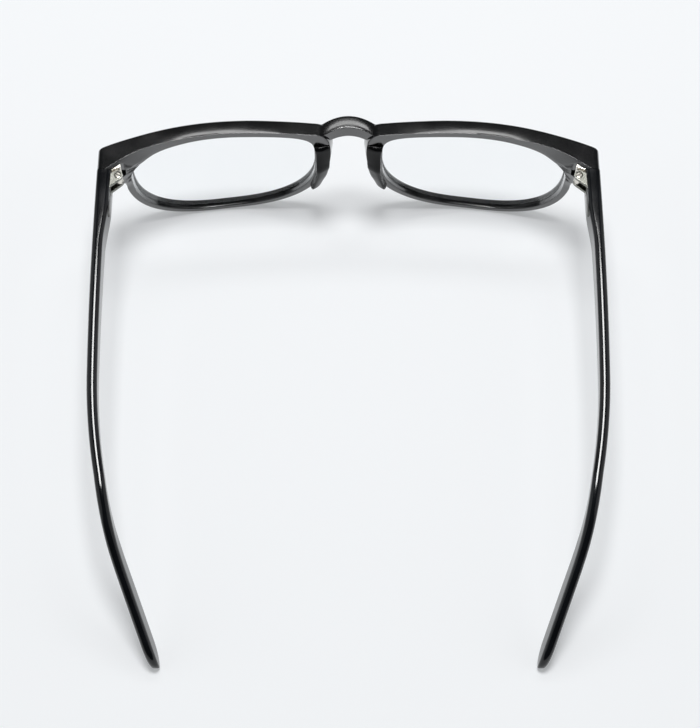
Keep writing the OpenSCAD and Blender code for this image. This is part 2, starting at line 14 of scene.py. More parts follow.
import bmesh
import bpy
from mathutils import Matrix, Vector


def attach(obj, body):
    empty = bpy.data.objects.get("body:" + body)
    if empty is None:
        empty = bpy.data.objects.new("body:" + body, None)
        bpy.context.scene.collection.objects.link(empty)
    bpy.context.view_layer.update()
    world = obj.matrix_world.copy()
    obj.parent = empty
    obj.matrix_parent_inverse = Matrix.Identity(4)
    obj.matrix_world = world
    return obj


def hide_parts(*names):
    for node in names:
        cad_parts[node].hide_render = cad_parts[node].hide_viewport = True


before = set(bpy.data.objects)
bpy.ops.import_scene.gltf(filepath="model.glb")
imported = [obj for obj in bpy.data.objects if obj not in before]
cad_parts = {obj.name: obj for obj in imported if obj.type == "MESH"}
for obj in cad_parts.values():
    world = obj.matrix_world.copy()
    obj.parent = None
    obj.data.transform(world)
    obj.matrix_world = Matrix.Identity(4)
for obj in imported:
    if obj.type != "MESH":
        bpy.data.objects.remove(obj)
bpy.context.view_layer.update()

log = logging.getLogger("reading_glasses")
MM = 0.001
# Points of a mesh that are closer than this, in metres, become one
WELD = 1e-8
# A rounded corner takes at most this share of a side, and its half angle counts as at least this, in radians
SIDE_SHARE = 0.48
LEAST_HALF_ANGLE = 0.05
# Two lengths in millimetres that differ by less than this are the same
SAME = 1e-6
Point = Sequence[float]
Spot = tuple[float, float, float]
Colour = tuple[float, float, float]
Range = tuple[float, float]
Span = tuple[float, float, float, float]
# The floor's tone, which the camera also sees beyond the floor
PALE: Colour = (0.913, 0.93, 0.947)


class Side(Enum):
    """The wearer's left and right, with the sign of X on that side."""

    LEFT = -1
    RIGHT = 1

    @property
    def word(self) -> str:
        """The side's name as the nodes spell it."""
        return self.name.lower()


class Cut(Enum):
    """How one shell is combined with another."""

    ADD = "UNION"
    TAKE = "DIFFERENCE"


# Shell building


def ease(t: float) -> float:
    """Smooth step from 0 to 1."""
    c = max(0.0, min(1.0, t))
    return c * c * (3 - 2 * c)


def within(t: float, span: Span) -> float:
    """1 inside a span and 0 outside it; the span is its start, rise, end and fall."""
    start, rise, end, fall = span
    return ease((t - start) / rise) * ease((end - t) / fall)


def filleted(corners: Sequence[Point], radii: Sequence[float], steps: int = 5) -> list[tuple[float, float]]:
    """Rounds the corners of a flat closed outline.

    Args:
        corners: the outline's corners, in order.
        radii: one radius per corner, where 0 leaves the corner as it is.
        steps: straight pieces in each rounded corner.

    Returns:
        The outline's points, always the same number for the same radii pattern.
    """
    out: list[tuple[float, float]] = []
    count = len(corners)
    for i, (corner, radius) in enumerate(zip(corners, radii)):
        here = Vector(corner)
        if radius <= 0:
            out.append((here.x, here.y))
            continue
        back = Vector(corners[i - 1]) - here
        ahead = Vector(corners[(i + 1) % count]) - here
        a, b = back.normalized(), ahead.normalized()
        half = max(LEAST_HALF_ANGLE, a.angle(b) / 2)
        reach = min(radius / math.tan(half), SIDE_SHARE * back.length, SIDE_SHARE * ahead.length)
        r = reach * math.tan(half)
        centre = here + (a + b).normalized() * (r / math.sin(half))
        start, end = here + a * reach - centre, here + b * reach - centre
        turn = start.angle_signed(end)
        for k in range(steps + 1):
            spin = -turn * k / steps
            c, s = math.cos(spin), math.sin(spin)
            out.append((centre.x + start.x * c - start.y * s, centre.y + start.x * s + start.y * c))
    return out


@contextmanager
def editing(data: bpy.types.Mesh) -> Iterator[bmesh.types.BMesh]:
    """Opens a mesh for changes, and writes them back at the end.

    Args:
        data: the mesh.

    Returns:
        The mesh as it can be changed.
    """
    work = bmesh.new()
    work.from_mesh(data)
    yield work
    work.to_mesh(data)
    work.free()


def linked(name: str, data: bpy.types.ID) -> bpy.types.Object:
    """Makes an object of a mesh, lamp or camera, and puts it in the scene.

    Args:
        name: the object's name.
        data: what it shows.

    Returns:
        The object.
    """
    obj = bpy.data.objects.new(name, data)
    bpy.context.scene.collection.objects.link(obj)
    return obj


@dataclass
class Shell:
    """One closed mesh: points in millimetres, and faces."""

    points: list[tuple[float, ...]] = field(default_factory=list)
    faces: list[tuple[int, ...]] = field(default_factory=list)

    def moved(self, by: Point) -> "Shell":
        """This shell moved by an offset."""
        return Shell([tuple(p[k] + by[k] for k in range(3)) for p in self.points], list(self.faces))

    def turned(self, degrees: float) -> "Shell":
        """This shell turned about Z."""
        c, s = math.cos(math.radians(degrees)), math.sin(math.radians(degrees))
        return Shell([(x * c - y * s, x * s + y * c, z) for x, y, z in self.points], list(self.faces))

    def lying_back(self) -> "Shell":
        """This shell with its Z axis laid along -Y."""
        return Shell([(p[0], -p[2], p[1]) for p in self.points], list(self.faces))

    def on(self, side: Side) -> "Shell":
        """This right-hand shell, mirrored if it belongs on the left."""
        mirrored = Shell([(-x, y, z) for x, y, z in self.points], [f[::-1] for f in self.faces])
        return self if side is Side.RIGHT else mirrored

    def plus(self, other: "Shell") -> "Shell":
        """This shell and another as two separate closed surfaces in one mesh."""
        n = len(self.points)
        return Shell(self.points + other.points, self.faces + [tuple(i + n for i in f) for f in other.faces])

    @classmethod
    def read(cls, data: bpy.types.Mesh) -> "Shell":
        """The shell that a mesh in metres holds."""
        points = [tuple(c / MM for c in v.co) for v in data.vertices]
        return cls(points, [tuple(f.vertices) for f in data.polygons])

    def mesh(self, name: str) -> bpy.types.Mesh:
        """Writes the shell as a mesh in metres, with its faces turned outward.

        Args:
            name: the mesh's name.

        Returns:
            The mesh.
        """
        data = bpy.data.meshes.new(name)
        data.from_pydata([tuple(c * MM for c in p) for p in self.points], [], self.faces)
        with editing(data) as work:
            bmesh.ops.remove_doubles(work, verts=work.verts, dist=WELD)
            bmesh.ops.recalc_face_normals(work, faces=work.faces)
        return data

    def eased(self, width: float, angle: float = 30.0) -> "Shell":
        """Bevels every edge sharper than an angle, with two rows of faces.

        Args:
            width: the bevel's width.
            angle: the least angle, in degrees, that counts as an edge.

        Returns:
            The bevelled shell.
        """
        data, least = self.mesh("eased"), math.radians(angle)
        with editing(data) as work:
            sharp = [e for e in work.edges if len(e.link_faces) == 2 and e.calc_face_angle(0.0) > least]
            bmesh.ops.bevel(
                work, geom=sharp, offset=width * MM, offset_type="OFFSET", segments=2, profile=0.5,
                affect="EDGES", clamp_overlap=True,
            )
        out = Shell.read(data)
        bpy.data.meshes.remove(data)
        return out

    def combined(self, other: "Shell", how: Cut) -> "Shell":
        """Joins another shell to this one, or takes it away.

        Args:
            other: the second shell.
            how: whether it is added or taken.

        Returns:
            The resulting shell.
        """
        pair = [linked(n, s.mesh(n)) for n, s in (("base", self), ("tool", other))]
        step = pair[0].modifiers.new("cut", "BOOLEAN")
        step.operation, step.object, step.solver = how.value, pair[1], "MANIFOLD"
        graph = bpy.context.evaluated_depsgraph_get()
        made = bpy.data.meshes.new_from_object(pair[0].evaluated_get(graph))
        out = Shell.read(made)
        bpy.data.meshes.remove(made)
        for o in pair:
            data = o.data
            bpy.data.objects.remove(o)
            bpy.data.meshes.remove(data)
        return out


def loft(rows: Sequence[Sequence[Point]], ring: bool = False) -> Shell:
    """Skins closed sections, one after another.

    Args:
        rows: the sections, each with the same number of points.
        ring: whether the last section joins the first.

    Returns:
        A closed shell, capped at both ends unless it is a ring.
    """
    m, n = len(rows[0]), len(rows)
    shell = Shell([tuple(p) for row in rows for p in row])
    for i in range(n if ring else n - 1):
        j = (i + 1) % n
        for k in range(m):
            q = (k + 1) % m
            shell.faces.append((i * m + k, i * m + q, j * m + q, j * m + k))
    if not ring:
        for i in (0, n - 1):
            centre = [sum(p[a] for p in rows[i]) / m for a in range(3)]
            hub = len(shell.points)
            shell.points.append(tuple(centre))
            shell.faces += [(hub, i * m + k, i * m + (k + 1) % m) for k in range(m)]
    return shell


def prism(outline: Sequence[Point], low: float, high: float) -> Shell:
    """Raises a flat outline from one height to another.

    Args:
        outline: its points, in order.
        low: the lower height.
        high: the upper height.

    Returns:
        The closed shell.
    """
    n = len(outline)
    shell = Shell([(p[0], p[1], z) for z in (low, high) for p in outline])
    shell.faces = [(k, (k + 1) % n, n + (k + 1) % n, n + k) for k in range(n)]
    shell.faces += [tuple(range(n))[::-1], tuple(range(n, 2 * n))]
    return shell


def block(low: Point, high: Point) -> Shell:
    """A box between two corners."""
    (x0, y0, z0), (x1, y1, z1) = low, high
    return prism([(x0, y0), (x1, y0), (x1, y1), (x0, y1)], z0, z1)


def round_bar(radius: float, low: float, high: float, steps: int = 56) -> Shell:
    """A round bar along Z."""
    turn = [2 * math.pi * k / steps for k in range(steps)]
    return prism([(radius * math.cos(a), radius * math.sin(a)) for a in turn], low, high)


def turned_profile(profile: Sequence[tuple[float, float]], steps: int = 64) -> Shell:
    """Spins a profile of radius and height about Z, from its first point to its last."""
    turn = [2 * math.pi * k / steps for k in range(steps)]
    return loft([[(r * math.cos(a), r * math.sin(a), h) for a in turn] for r, h in profile])


# Shader building


Value = Union[float, "Wire"]


class Wire:
    """A node's output that works in Python expressions on numbers."""

    def __init__(self, graph: "Graph", socket: bpy.types.NodeSocket) -> None:
        """Keeps the graph and the socket."""
        self.graph, self.socket = graph, socket

    def _math(self, operation: str, first: Value, second: Value) -> "Wire":
        """Adds one Math node."""
        return self.graph.add("ShaderNodeMath", {"operation": operation}, {0: first, 1: second})

    def __add__(self, other: Value) -> "Wire":
        """Sum."""
        return self._math("ADD", self, other)

    __radd__ = __add__

    def __sub__(self, other: Value) -> "Wire":
        """Difference."""
        return self._math("SUBTRACT", self, other)

    def __rsub__(self, other: Value) -> "Wire":
        """Difference, reflected."""
        return self._math("SUBTRACT", other, self)

    def __mul__(self, other: Value) -> "Wire":
        """Product."""
        return self._math("MULTIPLY", self, other)

    __rmul__ = __mul__

    def larger(self, other: Value) -> "Wire":
        """The larger of two values."""
        return self._math("MAXIMUM", self, other)

    def between(self, low: float, high: float, to_low: float = 0.0, to_high: float = 1.0) -> "Wire":
        """Spreads a span of this value over another span, smoothly and clamped.

        Args:
            low: where this value's span starts.
            high: where it ends.
            to_low: the result at low.
            to_high: the result at high.

        Returns:
            The result.
        """
        return self.graph.add(
            "ShaderNodeMapRange", {"clamp": True, "interpolation_type": "SMOOTHSTEP"},
            {"Value": self, "From Min": low, "From Max": high, "To Min": to_low, "To Max": to_high}, "Result",
        )


class Graph:
    """The nodes of one material or world."""

    def __init__(self, owner: Union[bpy.types.Material, bpy.types.World]) -> None:
        """Clears the owner's nodes and gives it a new output.

        Args:
            owner: the material or world.
        """
        owner.use_nodes = True
        self.tree = owner.node_tree
        self.tree.nodes.clear()
        kind = "ShaderNodeOutputWorld" if isinstance(owner, bpy.types.World) else "ShaderNodeOutputMaterial"
        self.output = self.tree.nodes.new(kind)

    def add(
        self, kind: str, settings: Optional[dict] = None, sockets: Optional[dict] = None,
        output: Union[int, str] = 0,
    ) -> Wire:
        """Adds a node.

        Args:
            kind: the node's type.
            settings: its own settings, which are set first.
            sockets: values or wires, by socket name or number.
            output: which output is returned.

        Returns:
            The chosen output.
        """
        node = self.tree.nodes.new(kind)
        for key, value in (settings or {}).items():
            setattr(node, key, value)
        for key, value in (sockets or {}).items():
            socket = node.inputs[key]
            if isinstance(value, Wire):
                self.tree.links.new(value.socket, socket)
            elif isinstance(value, tuple) and len(value) == 3 and socket.type == "RGBA":
                socket.default_value = (*value, 1.0)
            else:
                socket.default_value = value
        return Wire(self, node.outputs[output])

    def surface(self, shader: Wire) -> None:
        """Makes a shader the one that the output shows."""
        self.tree.links.new(shader.socket, self.output.inputs["Surface"])

    def place(self, stretch: Point = (1.0, 1.0, 1.0), turn: Point = (0.0, 0.0, 0.0)) -> Wire:
        """The piece's own coordinates in millimetres.

        Args:
            stretch: a scale along each axis.
            turn: a turn about each axis, in radians.

        Returns:
            The coordinates.
        """
        own = self.add("ShaderNodeTexCoord", output="Object")
        scale = tuple(s / MM for s in stretch)
        return self.add("ShaderNodeMapping", {}, {"Vector": own, "Scale": scale, "Rotation": tuple(turn)})

    def noise(self, where: Wire, size: float, detail: float = 3.0, rough: float = 0.5) -> Wire:
        """Cloudy variation from 0 to 1 with blotches of a size in millimetres."""
        sockets = {"Vector": where, "Scale": 1.0 / size, "Detail": detail, "Roughness": rough}
        return self.add("ShaderNodeTexNoise", {"noise_dimensions": "3D"}, sockets)

    def blend(self, factor: Value, first: Union[Colour, Wire], second: Union[Colour, Wire]) -> Wire:
        """A colour between two colours."""
        return self.add("ShaderNodeMix", {"data_type": "RGBA"}, {0: factor, 6: first, 7: second}, 2)

    def bump(self, height: Wire, depth: float, strength: float) -> Wire:
        """A relief of a depth in millimetres."""
        sockets = {"Height": height, "Strength": strength, "Distance": depth * MM}
        return self.add("ShaderNodeBump", {}, sockets)


@dataclass(frozen=True)
class Acetate:
    """Polished cellulose acetate: deep black, faint clouds, fine rub marks and softer worn edges."""

    name: str
    deep: Colour = (0.0025, 0.0028, 0.003)
    cloud: Colour = (0.005, 0.005, 0.0055)
    gloss: float = 0.16
    dull: float = 0.22
    coat: float = 0.6
    relief: float = 0.12
    index: float = 1.8
    coat_rough: float = 0.08
    cloud_size: float = 9.0
    fleck_size: float = 0.9
    rub_size: float = 0.35
    rub_stretch: Spot = (1.0, 0.16, 1.0)
    rub_turn: Spot = (0.3, 0.1, 0.7)
    mark_depth: float = 0.004
    coat_index: float = 1.5
    edge_range: Range = (0.52, 0.60)
    cloud_range: Range = (0.35, 0.7)
    dull_range: Range = (0.4, 0.75)
    rub_range: Range = (0.55, 0.8)
    rub_rough: float = 0.05
    edge_rough: float = 0.04
    edge_share: float = 0.2
    fleck_share: float = 0.6

    def material(self) -> bpy.types.Material:
        """Builds the material.

        Returns:
            The material.
        """
        made = bpy.data.materials.new(self.name)
        g = Graph(made)
        here = g.place()
        cloud = g.noise(here, self.cloud_size)
        fleck = g.noise(here, self.fleck_size, 2.0)
        rub = g.noise(g.place(self.rub_stretch, self.rub_turn), self.rub_size, 4.0, 0.6)
        edge = g.add("ShaderNodeNewGeometry", output="Pointiness").between(*self.edge_range)
        paler = cloud.between(*self.cloud_range) * (1 - self.edge_share) + edge * self.edge_share
        colour = g.blend(paler, self.deep, self.cloud)
        rough = self.gloss + cloud.between(*self.dull_range) * (self.dull - self.gloss)
        rough = rough + rub.between(*self.rub_range) * self.rub_rough + edge * self.edge_rough
        marks = fleck * self.fleck_share + rub * (1 - self.fleck_share)
        relief = g.bump(marks, self.mark_depth, self.relief)
        g.surface(g.add("ShaderNodeBsdfPrincipled", {}, {
            "Base Color": colour, "Roughness": rough, "Normal": relief,
            "IOR": self.index, "Coat Weight": self.coat, "Coat Roughness": self.coat_rough,
            "Coat IOR": self.coat_index,
        }))
        return made


@dataclass(frozen=True)
class Metal:
    """Satin metal with a drawn grain, polished edges lightened by wear and partly by a painted highlight, and
    painted shade in its hollows.
    """

    name: str
    face: Colour
    # The darker colour: tarnish blotches, and painted shade in the hollows
    tarnish_and_painted_shade: Colour
    grain: Spot = (1.0, 0.12, 1.0)
    satin: float = 0.38
    bright: float = 0.2
    relief: float = 0.006
    # The edges' lighter colour: wear, and partly a painted highlight on the chamfers
    wear_and_highlight: Colour = (0.8, 0.78, 0.72)
    grain_size: float = 0.12
    tarnish_size: float = 1.3
    edge_range: Range = (0.51, 0.58)
    hollow_shade_range: Range = (0.40, 0.49)
    tarnish_range: Range = (0.4, 0.75)
    tarnish_share: float = 0.25
    grain_range: Range = (0.35, 0.7)
    grain_rough: Range = (-0.05, 0.07)
    relief_strength: float = 0.4

    def material(self) -> bpy.types.Material:
        """Builds the material.

        Returns:
            The material.
        """
        made = bpy.data.materials.new(self.name)
        g = Graph(made)
        grain = g.noise(g.place(self.grain), self.grain_size, 4.0, 0.65)
        tarnish = g.noise(g.place(), self.tarnish_size)
        bend = g.add("ShaderNodeNewGeometry", output="Pointiness")
        # edge lightens the colour, partly as a painted highlight; hollow is painted shade
        edge, hollow = bend.between(*self.edge_range), bend.between(*self.hollow_shade_range, 1.0, 0.0)
        # Tarnish blotches, mixed with painted shade where the surface is hollow
        tone = tarnish.between(*self.tarnish_range) * self.tarnish_share + hollow * (1 - self.tarnish_share)
        colour = g.blend(edge, g.blend(tone, self.face, self.tarnish_and_painted_shade), self.wear_and_highlight)
        worked = self.satin + grain.between(*self.grain_range, *self.grain_rough)
        rough = worked - edge * (self.satin - self.bright)
        relief = g.bump(grain, self.relief, self.relief_strength)
        g.surface(g.add("ShaderNodeBsdfPrincipled", {}, {
            "Base Color": colour, "Metallic": 1.0, "Roughness": rough, "Normal": relief,
        }))
        return made


@dataclass(frozen=True)
class ClearLens:
    """Clear lens resin with a faint film of finger haze."""

    name: str
    tint: Colour = (0.985, 0.99, 0.993)
    index: float = 1.38
    haze_size: float = 11.0
    haze_range: Range = (0.5, 0.8)
    haze_rough: float = 0.05

    def material(self) -> bpy.types.Material:
        """Builds the material: clear through, with a mirror that grows toward grazing angles.

        Returns:
            The material.
        """
        made = bpy.data.materials.new(self.name)
        g = Graph(made)
        haze = g.noise(g.place(), self.haze_size, 4.0, 0.6)
        gleam = g.add("ShaderNodeBsdfPrincipled", {}, {
            "Base Color": (1.0, 1.0, 1.0), "Metallic": 1.0,
            "Roughness": haze.between(*self.haze_range, 0.0, self.haze_rough),
        })
        through = g.add("ShaderNodeBsdfTransparent", {}, {"Color": self.tint})
        outer = 1.0 - g.add("ShaderNodeNewGeometry", output="Backfacing")
        mirror = g.add("ShaderNodeFresnel", {}, {"IOR": self.index}) * outer
        solid = g.add("ShaderNodeMixShader", {}, {0: mirror, 1: through, 2: gleam})
        lamp = g.add("ShaderNodeLightPath", output="Is Shadow Ray")
        g.surface(g.add("ShaderNodeMixShader", {}, {0: lamp, 1: solid, 2: through}))
        return made


@dataclass(frozen=True)
class Paper:
    """The pale sweep that the glasses stand on, even in tone far away from them."""

    name: str
    tone: Colour = PALE
    held: float = 0.34
    near: float = 220.0
    far: float = 900.0

    def material(self) -> bpy.types.Material:
        """Builds the material, whose pale tone partly holds for rays from the camera, metal and glass.

        Returns:
            The material.
        """
        made = bpy.data.materials.new(self.name)
        g = Graph(made)
        lit = g.add("ShaderNodeBsdfDiffuse", {}, {"Color": self.tone})
        flat = g.add("ShaderNodeEmission", {}, {"Color": self.tone, "Strength": 1.0})
        kinds = ("Is Camera Ray", "Is Glossy Ray", "Is Transmission Ray")
        camera, glossy, clear = (g.add("ShaderNodeLightPath", output=kind) for kind in kinds)
        seen = camera.larger(glossy).larger(clear)
        away = g.add("ShaderNodeVectorMath", {"operation": "LENGTH"}, {0: g.place()}, "Value")
        held = away.between(self.near, self.far, self.held, 1.0)
        g.surface(g.add("ShaderNodeMixShader", {}, {0: seen * held, 1: lit, 2: flat}))
        return made


# Pieces


@dataclass
class Workshop:
    """Turns shells into finished pieces and reports them."""

    finishes: dict[str, bpy.types.Material] = field(default_factory=dict)
    made: list[str] = field(default_factory=list)
    normal_weight: int = 60

    def stock(self, finish: Union[Acetate, Metal, ClearLens, Paper]) -> None:
        """Builds one finish and keeps it under its name."""
        self.finishes[finish.name] = finish.material()

    def piece(
        self, name: str, shell: Shell, finish: str, body: str, nodes: list[str],
        sharp: float = 34.0,
    ) -> None:
        """Makes one piece of the glasses.

        Args:
            name: the piece's name.
            shell: its shape.
            finish: the name of its finish.
            body: the frame's body that it rides on.
            nodes: the frame's nodes that it stands for.
            sharp: the angle, in degrees, above which an edge stays crisp.
        """
        obj = linked(name, shell.mesh(name))
        with editing(obj.data) as work:
            for e in work.edges:
                e.smooth = len(e.link_faces) != 2 or e.calc_face_angle(0.0) < math.radians(sharp)
            for f in work.faces:
                f.smooth = True
        obj.data.materials.append(self.finishes[finish])
        even = obj.modifiers.new("even_normals", "WEIGHTED_NORMAL")
        even.keep_sharp, even.weight = True, self.normal_weight
        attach(obj, body)
        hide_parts(*nodes)
        self.made.append(name)
        log.info("%s: %d faces on %s", name, len(obj.data.polygons), body)

    def refinish(self, node: str, finish: str) -> None:
        """Gives a node that keeps its own shape one of the finishes.

        Args:
            node: the frame's node.
            finish: the name of its finish.
        """
        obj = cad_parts[node]
        obj.data.materials.clear()
        obj.data.materials.append(self.finishes[finish])
        for face in obj.data.polygons:
            face.use_smooth = True
        log.info("%s: its own shape, finish %s", node, finish)


@dataclass
class FrontShape:
    """The curves of the front: lens opening, outer outline, and its lean and wrap in space."""

    # Overall sizes
    frame_width: float = 140.0
    lens_width: float = 53.5
    lens_height: float = 37.4
    bridge_gap: float = 17.5
    # Rim widths and depths
    upper_rim: float = 2.5
    lower_rim: float = 1.686
    side_rim: float = 2.5
    nose_rim: float = 4.7
    rim_depth: float = 4.9
    lower_depth: float = 3.0
    end_depth: float = 7.1
    # Curvature and lean of the face
    face_radius: float = 98.0
    nose_radius: float = 220.0
    upright_radius: float = 400.0
    tilt: float = 8.0
    # Lens groove, rounded edges and the front's place
    groove_depth: float = 0.85
    groove_mid: float = 1.45
    groove_half: float = 0.8
    inner_round: float = 0.45
    outer_round: float = 0.7
    origin_y: float = 71.1932
    origin_z: float = 18.7458
    # The face's foremost place, inward of the lens's middle, and how much shallower the brow is
    peak_inset: float = 7.0
    brow_thinner: float = 0.4
    # Lens outline: the powers of its corners and the droop of its lower half
    under_power: float = 2.5
    temple_power: float = 2.3
    nose_power: float = 6.5
    droop_side: float = 0.1
    droop_ends: float = 0.08
    droop_peak: float = 1.025
    # How fast the lower rim widens toward its ends, and the flare at the nose
    nose_fade: float = 4.5
    side_fade: float = 7.0
    flare_out: float = 0.9
    flare_span: Span = (134, 10, 215, 20)

    def __post_init__(self) -> None:
        """Works out the sizes that follow from the others, and the outline's control rows."""
        self.half_w = self.lens_width / 2 - self.groove_depth
        self.half_h = self.lens_height / 2 - self.groove_depth
        self.lens_x = (self.bridge_gap + self.lens_width) / 2
        self.end_x = self.frame_width / 2 - self.lens_x
        self.top_h = self.half_h + self.upper_rim
        self.brow_peak = self.lens_x - self.peak_inset
        self.wide_h = self.half_h / 3
        t, d, e, ex = self.top_h, self.rim_depth, self.end_depth, self.end_x
        half, nose, brow = self.half_w, self.nose_rim, self.rim_depth - self.brow_thinner
        # Angle, place across and up from the lens's middle, depth at the lens side and at the outer side
        self.rows = [
            self.low_row(-30, 330), self.low_row(-15, 345),
            (-6, half + 0.76 * self.side_rim, 0.14 * t, d - 0.2, d - 0.2),
            (2, ex - 5.7, t - 13.9, d + 0.2, e - 0.9), (9, ex - 1.7, t - 11.4, d + 0.4, e + 0.7),
            (15, ex - 0.2, t - 8.9, d + 0.6, e + 1.3), (21, ex, t - 6.4, d + 0.6, e + 1.3),
            (27, ex - 0.05, t - 3.6, d + 0.6, e + 1.3), (31.5, ex - 0.55, t - 2.1, d + 0.5, e + 1.2),
            (36, ex - 2.5, t - 1.7, d + 0.4, e + 0.8), (46, ex - 11, t - 1.1, d, d + 0.5),
            (66, 11.5, t - 0.25, d, d), (90, 0.0, t, brow + 0.2, brow + 0.2),
            (104, -0.357 * half, t - 0.05, brow + 0.1, brow + 0.1), (120, -0.69 * half, t - 0.3, brow, brow),
            (130, -0.96 * half, t - 0.5, brow - 0.1, brow - 0.1),
            (136, -half - 0.48 * nose, t - 0.8, brow - 0.1, brow - 0.1),
            (139, -half - 0.85 * nose, t - 2.6, brow - 0.1, brow - 0.1),
            (142, -half - 1.06 * nose, t - 4.6, brow - 0.1, brow - 0.1),
            (150, -half - 1.13 * nose, t - 8.05, brow, brow),
            (165, -half - 1.08 * nose, t - 11.75, brow + 0.2, brow + 0.2),
            self.low_row(180, 180), self.low_row(195, 195),
        ]

    def plan(self, x: float) -> float:
        """How far the front falls back at a distance from the middle."""
        s = abs(x) - self.brow_peak
        return -s * s / 2 / (self.face_radius if s > 0 else self.nose_radius)

    def lean(self, x: float, h: float, depth: float) -> Spot:
        """A point of the leaning front, in the frame's axes."""
        c, s = math.cos(math.radians(self.tilt)), math.sin(math.radians(self.tilt))
        return x, self.origin_y + h * s + depth * c, self.origin_z + h * c - depth * s

    def sunk(self, x: float, h: float, depth: float) -> Spot:
        """A point at a depth behind the curved front face."""
        return self.lean(x, h, self.plan(x) - h * h / 2 / self.upright_radius + depth)

    def opening(self, f: float) -> Vector:
        """The edge of the lens opening.

        Args:
            f: the angle round the lens's middle, in degrees.

        Returns:
            The place across and up from the lens's middle.
        """
        c, s = math.cos(math.radians(f)), math.sin(math.radians(f))
        n = self.under_power if s < 0 else self.temple_power if c > 0 else self.nose_power
        r = (abs(c) ** n + abs(s) ** n) ** (-1 / n)
        up = self.half_h - self.wide_h
        droop = (1 + self.droop_side * c - self.droop_ends * c * c) / self.droop_peak
        down = (self.half_h + self.wide_h) * droop
        return Vector((self.half_w * c * r, self.wide_h + (up if s > 0 else down) * s * r))

    def outward(self, f: float) -> Vector:
        """The direction away from the opening."""
        t = self.opening(f + 0.5) - self.opening(f - 0.5)
        return Vector((t.y, -t.x)).normalized()

    def low_width(self, f: float) -> float:
        """The rim's width along the lower half."""
        end, fade = (self.nose_rim, self.nose_fade) if f < 270 else (self.side_rim, self.side_fade)
        return self.lower_rim + (end - self.lower_rim) * (abs(f - 270) / 90) ** fade

    def low_depth(self, f: float) -> float:
        """The rim's depth along the lower half."""
        return self.lower_depth + (self.rim_depth - self.lower_depth) * (abs(f - 270) / 90) ** 2

    def low_row(self, f: float, g: float) -> tuple[float, ...]:
        """A control row that continues the lower half."""
        p = self.opening(f) + self.outward(f) * self.low_width(g)
        return f, p.x, p.y, self.low_depth(g), self.low_depth(g)

    def blend(self, f: float, k: int) -> float:
        """One column of the control rows, smoothly between its rows.

        Args:
            f: the angle round the lens's middle, in degrees.
            k: the column.

        Returns:
            The column's value at the angle.
        """
        rows = self.rows
        j = next((i for i in range(2, len(rows) - 2) if f <= rows[i][0]), len(rows) - 2)
        i = j - 1

        def slope(a: int) -> float:
            """The column's slope at a row."""
            return (rows[a + 1][k] - rows[a - 1][k]) / (rows[a + 1][0] - rows[a - 1][0])

        w = rows[j][0] - rows[i][0]
        t = (f - rows[i][0]) / w
        return (
            (2 * t**3 - 3 * t * t + 1) * rows[i][k] + (t**3 - 2 * t * t + t) * w * slope(i)
            + (3 * t * t - 2 * t**3) * rows[j][k] + (t**3 - t * t) * w * slope(j)
        )

    def outer(self, f: float) -> Vector:
        """The outer outline.

        Args:
            f: the angle round the lens's middle, in degrees.

        Returns:
            The place across and up from the lens's middle.
        """
        if f <= 180:
            return Vector((self.blend(f, 1), self.blend(f, 2)))
        return self.opening(f) + self.outward(f) * self.low_width(f)

    def depths(self, f: float) -> tuple[float, float]:
        """The rim's depth.

        Args:
            f: the angle round the lens's middle, in degrees.

        Returns:
            The depth at the lens side and at the outer side.
        """
        if f <= 180:
            return self.blend(f, 3), self.blend(f, 4)
        return self.low_depth(f), self.low_depth(f)

    def flare(self, f: float) -> float:
        """How far the rim's nose side opens out toward the back."""
        return self.flare_out * within(f, self.flare_span)

    def rim_point(self, f: float, m: float, d: float, square: bool = False) -> Spot:
        """A point of the rim, in the frame's axes.

        Args:
            f: the angle round the lens's middle, in degrees.
            m: how far it is from the opening.
            d: how far it is in front of the front face.
            square: whether m is square to the opening, and not toward the outer outline.

        Returns:
            The point.
        """
        o, u = self.opening(f), self.outer(f)
        p = o + (self.outward(f) if square else (u - o).normalized()) * m
        return self.sunk(self.lens_x + p.x, p.y, d)


@dataclass
class Hinge:
    """Where the pin stands and the sizes that its pieces share."""

    pin: Spot = (64.2, 56.6456, 35.4389)
    inset: float = 5.8
    setback: float = 1.3
    shank: float = 0.65
    fit: float = 0.03
    ear_radius: float = 1.4
    ear_thick: float = 1.2
    knuckle: float = 2.5
    ear_gap: float = 0.05
    temple_thick: float = 3.9
    leaf_angle: float = -20.016
    # The front leaf's plate
    leaf_back: float = 0.6
    leaf_thick: float = 0.8
    leaf_over: float = 0.3
    leaf_in: float = 1.6
    leaf_out: float = 1.85
    # The web and rod behind the ears, and the spring box
    web_thick: float = 2.05
    web_length: float = 4.6
    web_end: float = 5.3
    rod_inset: float = 1.4
    box_start: float = 6.0
    box_length: float = 6.4
    box_half: float = 1.7
    box_beyond: float = 1.3
    seat: float = 0.05

    def __post_init__(self) -> None:
        """Works out the stack's height and the places along the temple."""
        self.stack = self.knuckle + 2 * self.ear_thick + 2 * self.ear_gap
        self.face = self.inset - self.temple_thick
        self.web_in = self.face + self.seat
        self.web_out = self.web_in + self.web_thick
        self.web_back = self.setback - self.web_end
        self.rod = self.web_in + self.rod_inset
        self.leaf_face = self.ear_radius + self.leaf_back
        self.leaf_half = self.stack / 2 + self.leaf_over
        self.box_out = self.rod + self.box_beyond
        self.box_front = self.setback - self.box_start

    def bore(self, radius: float, low: float = -9.0, high: float = 9.0) -> Shell:
        """A round cutter on the pin's axis."""
        return round_bar(radius, low, high, 48)


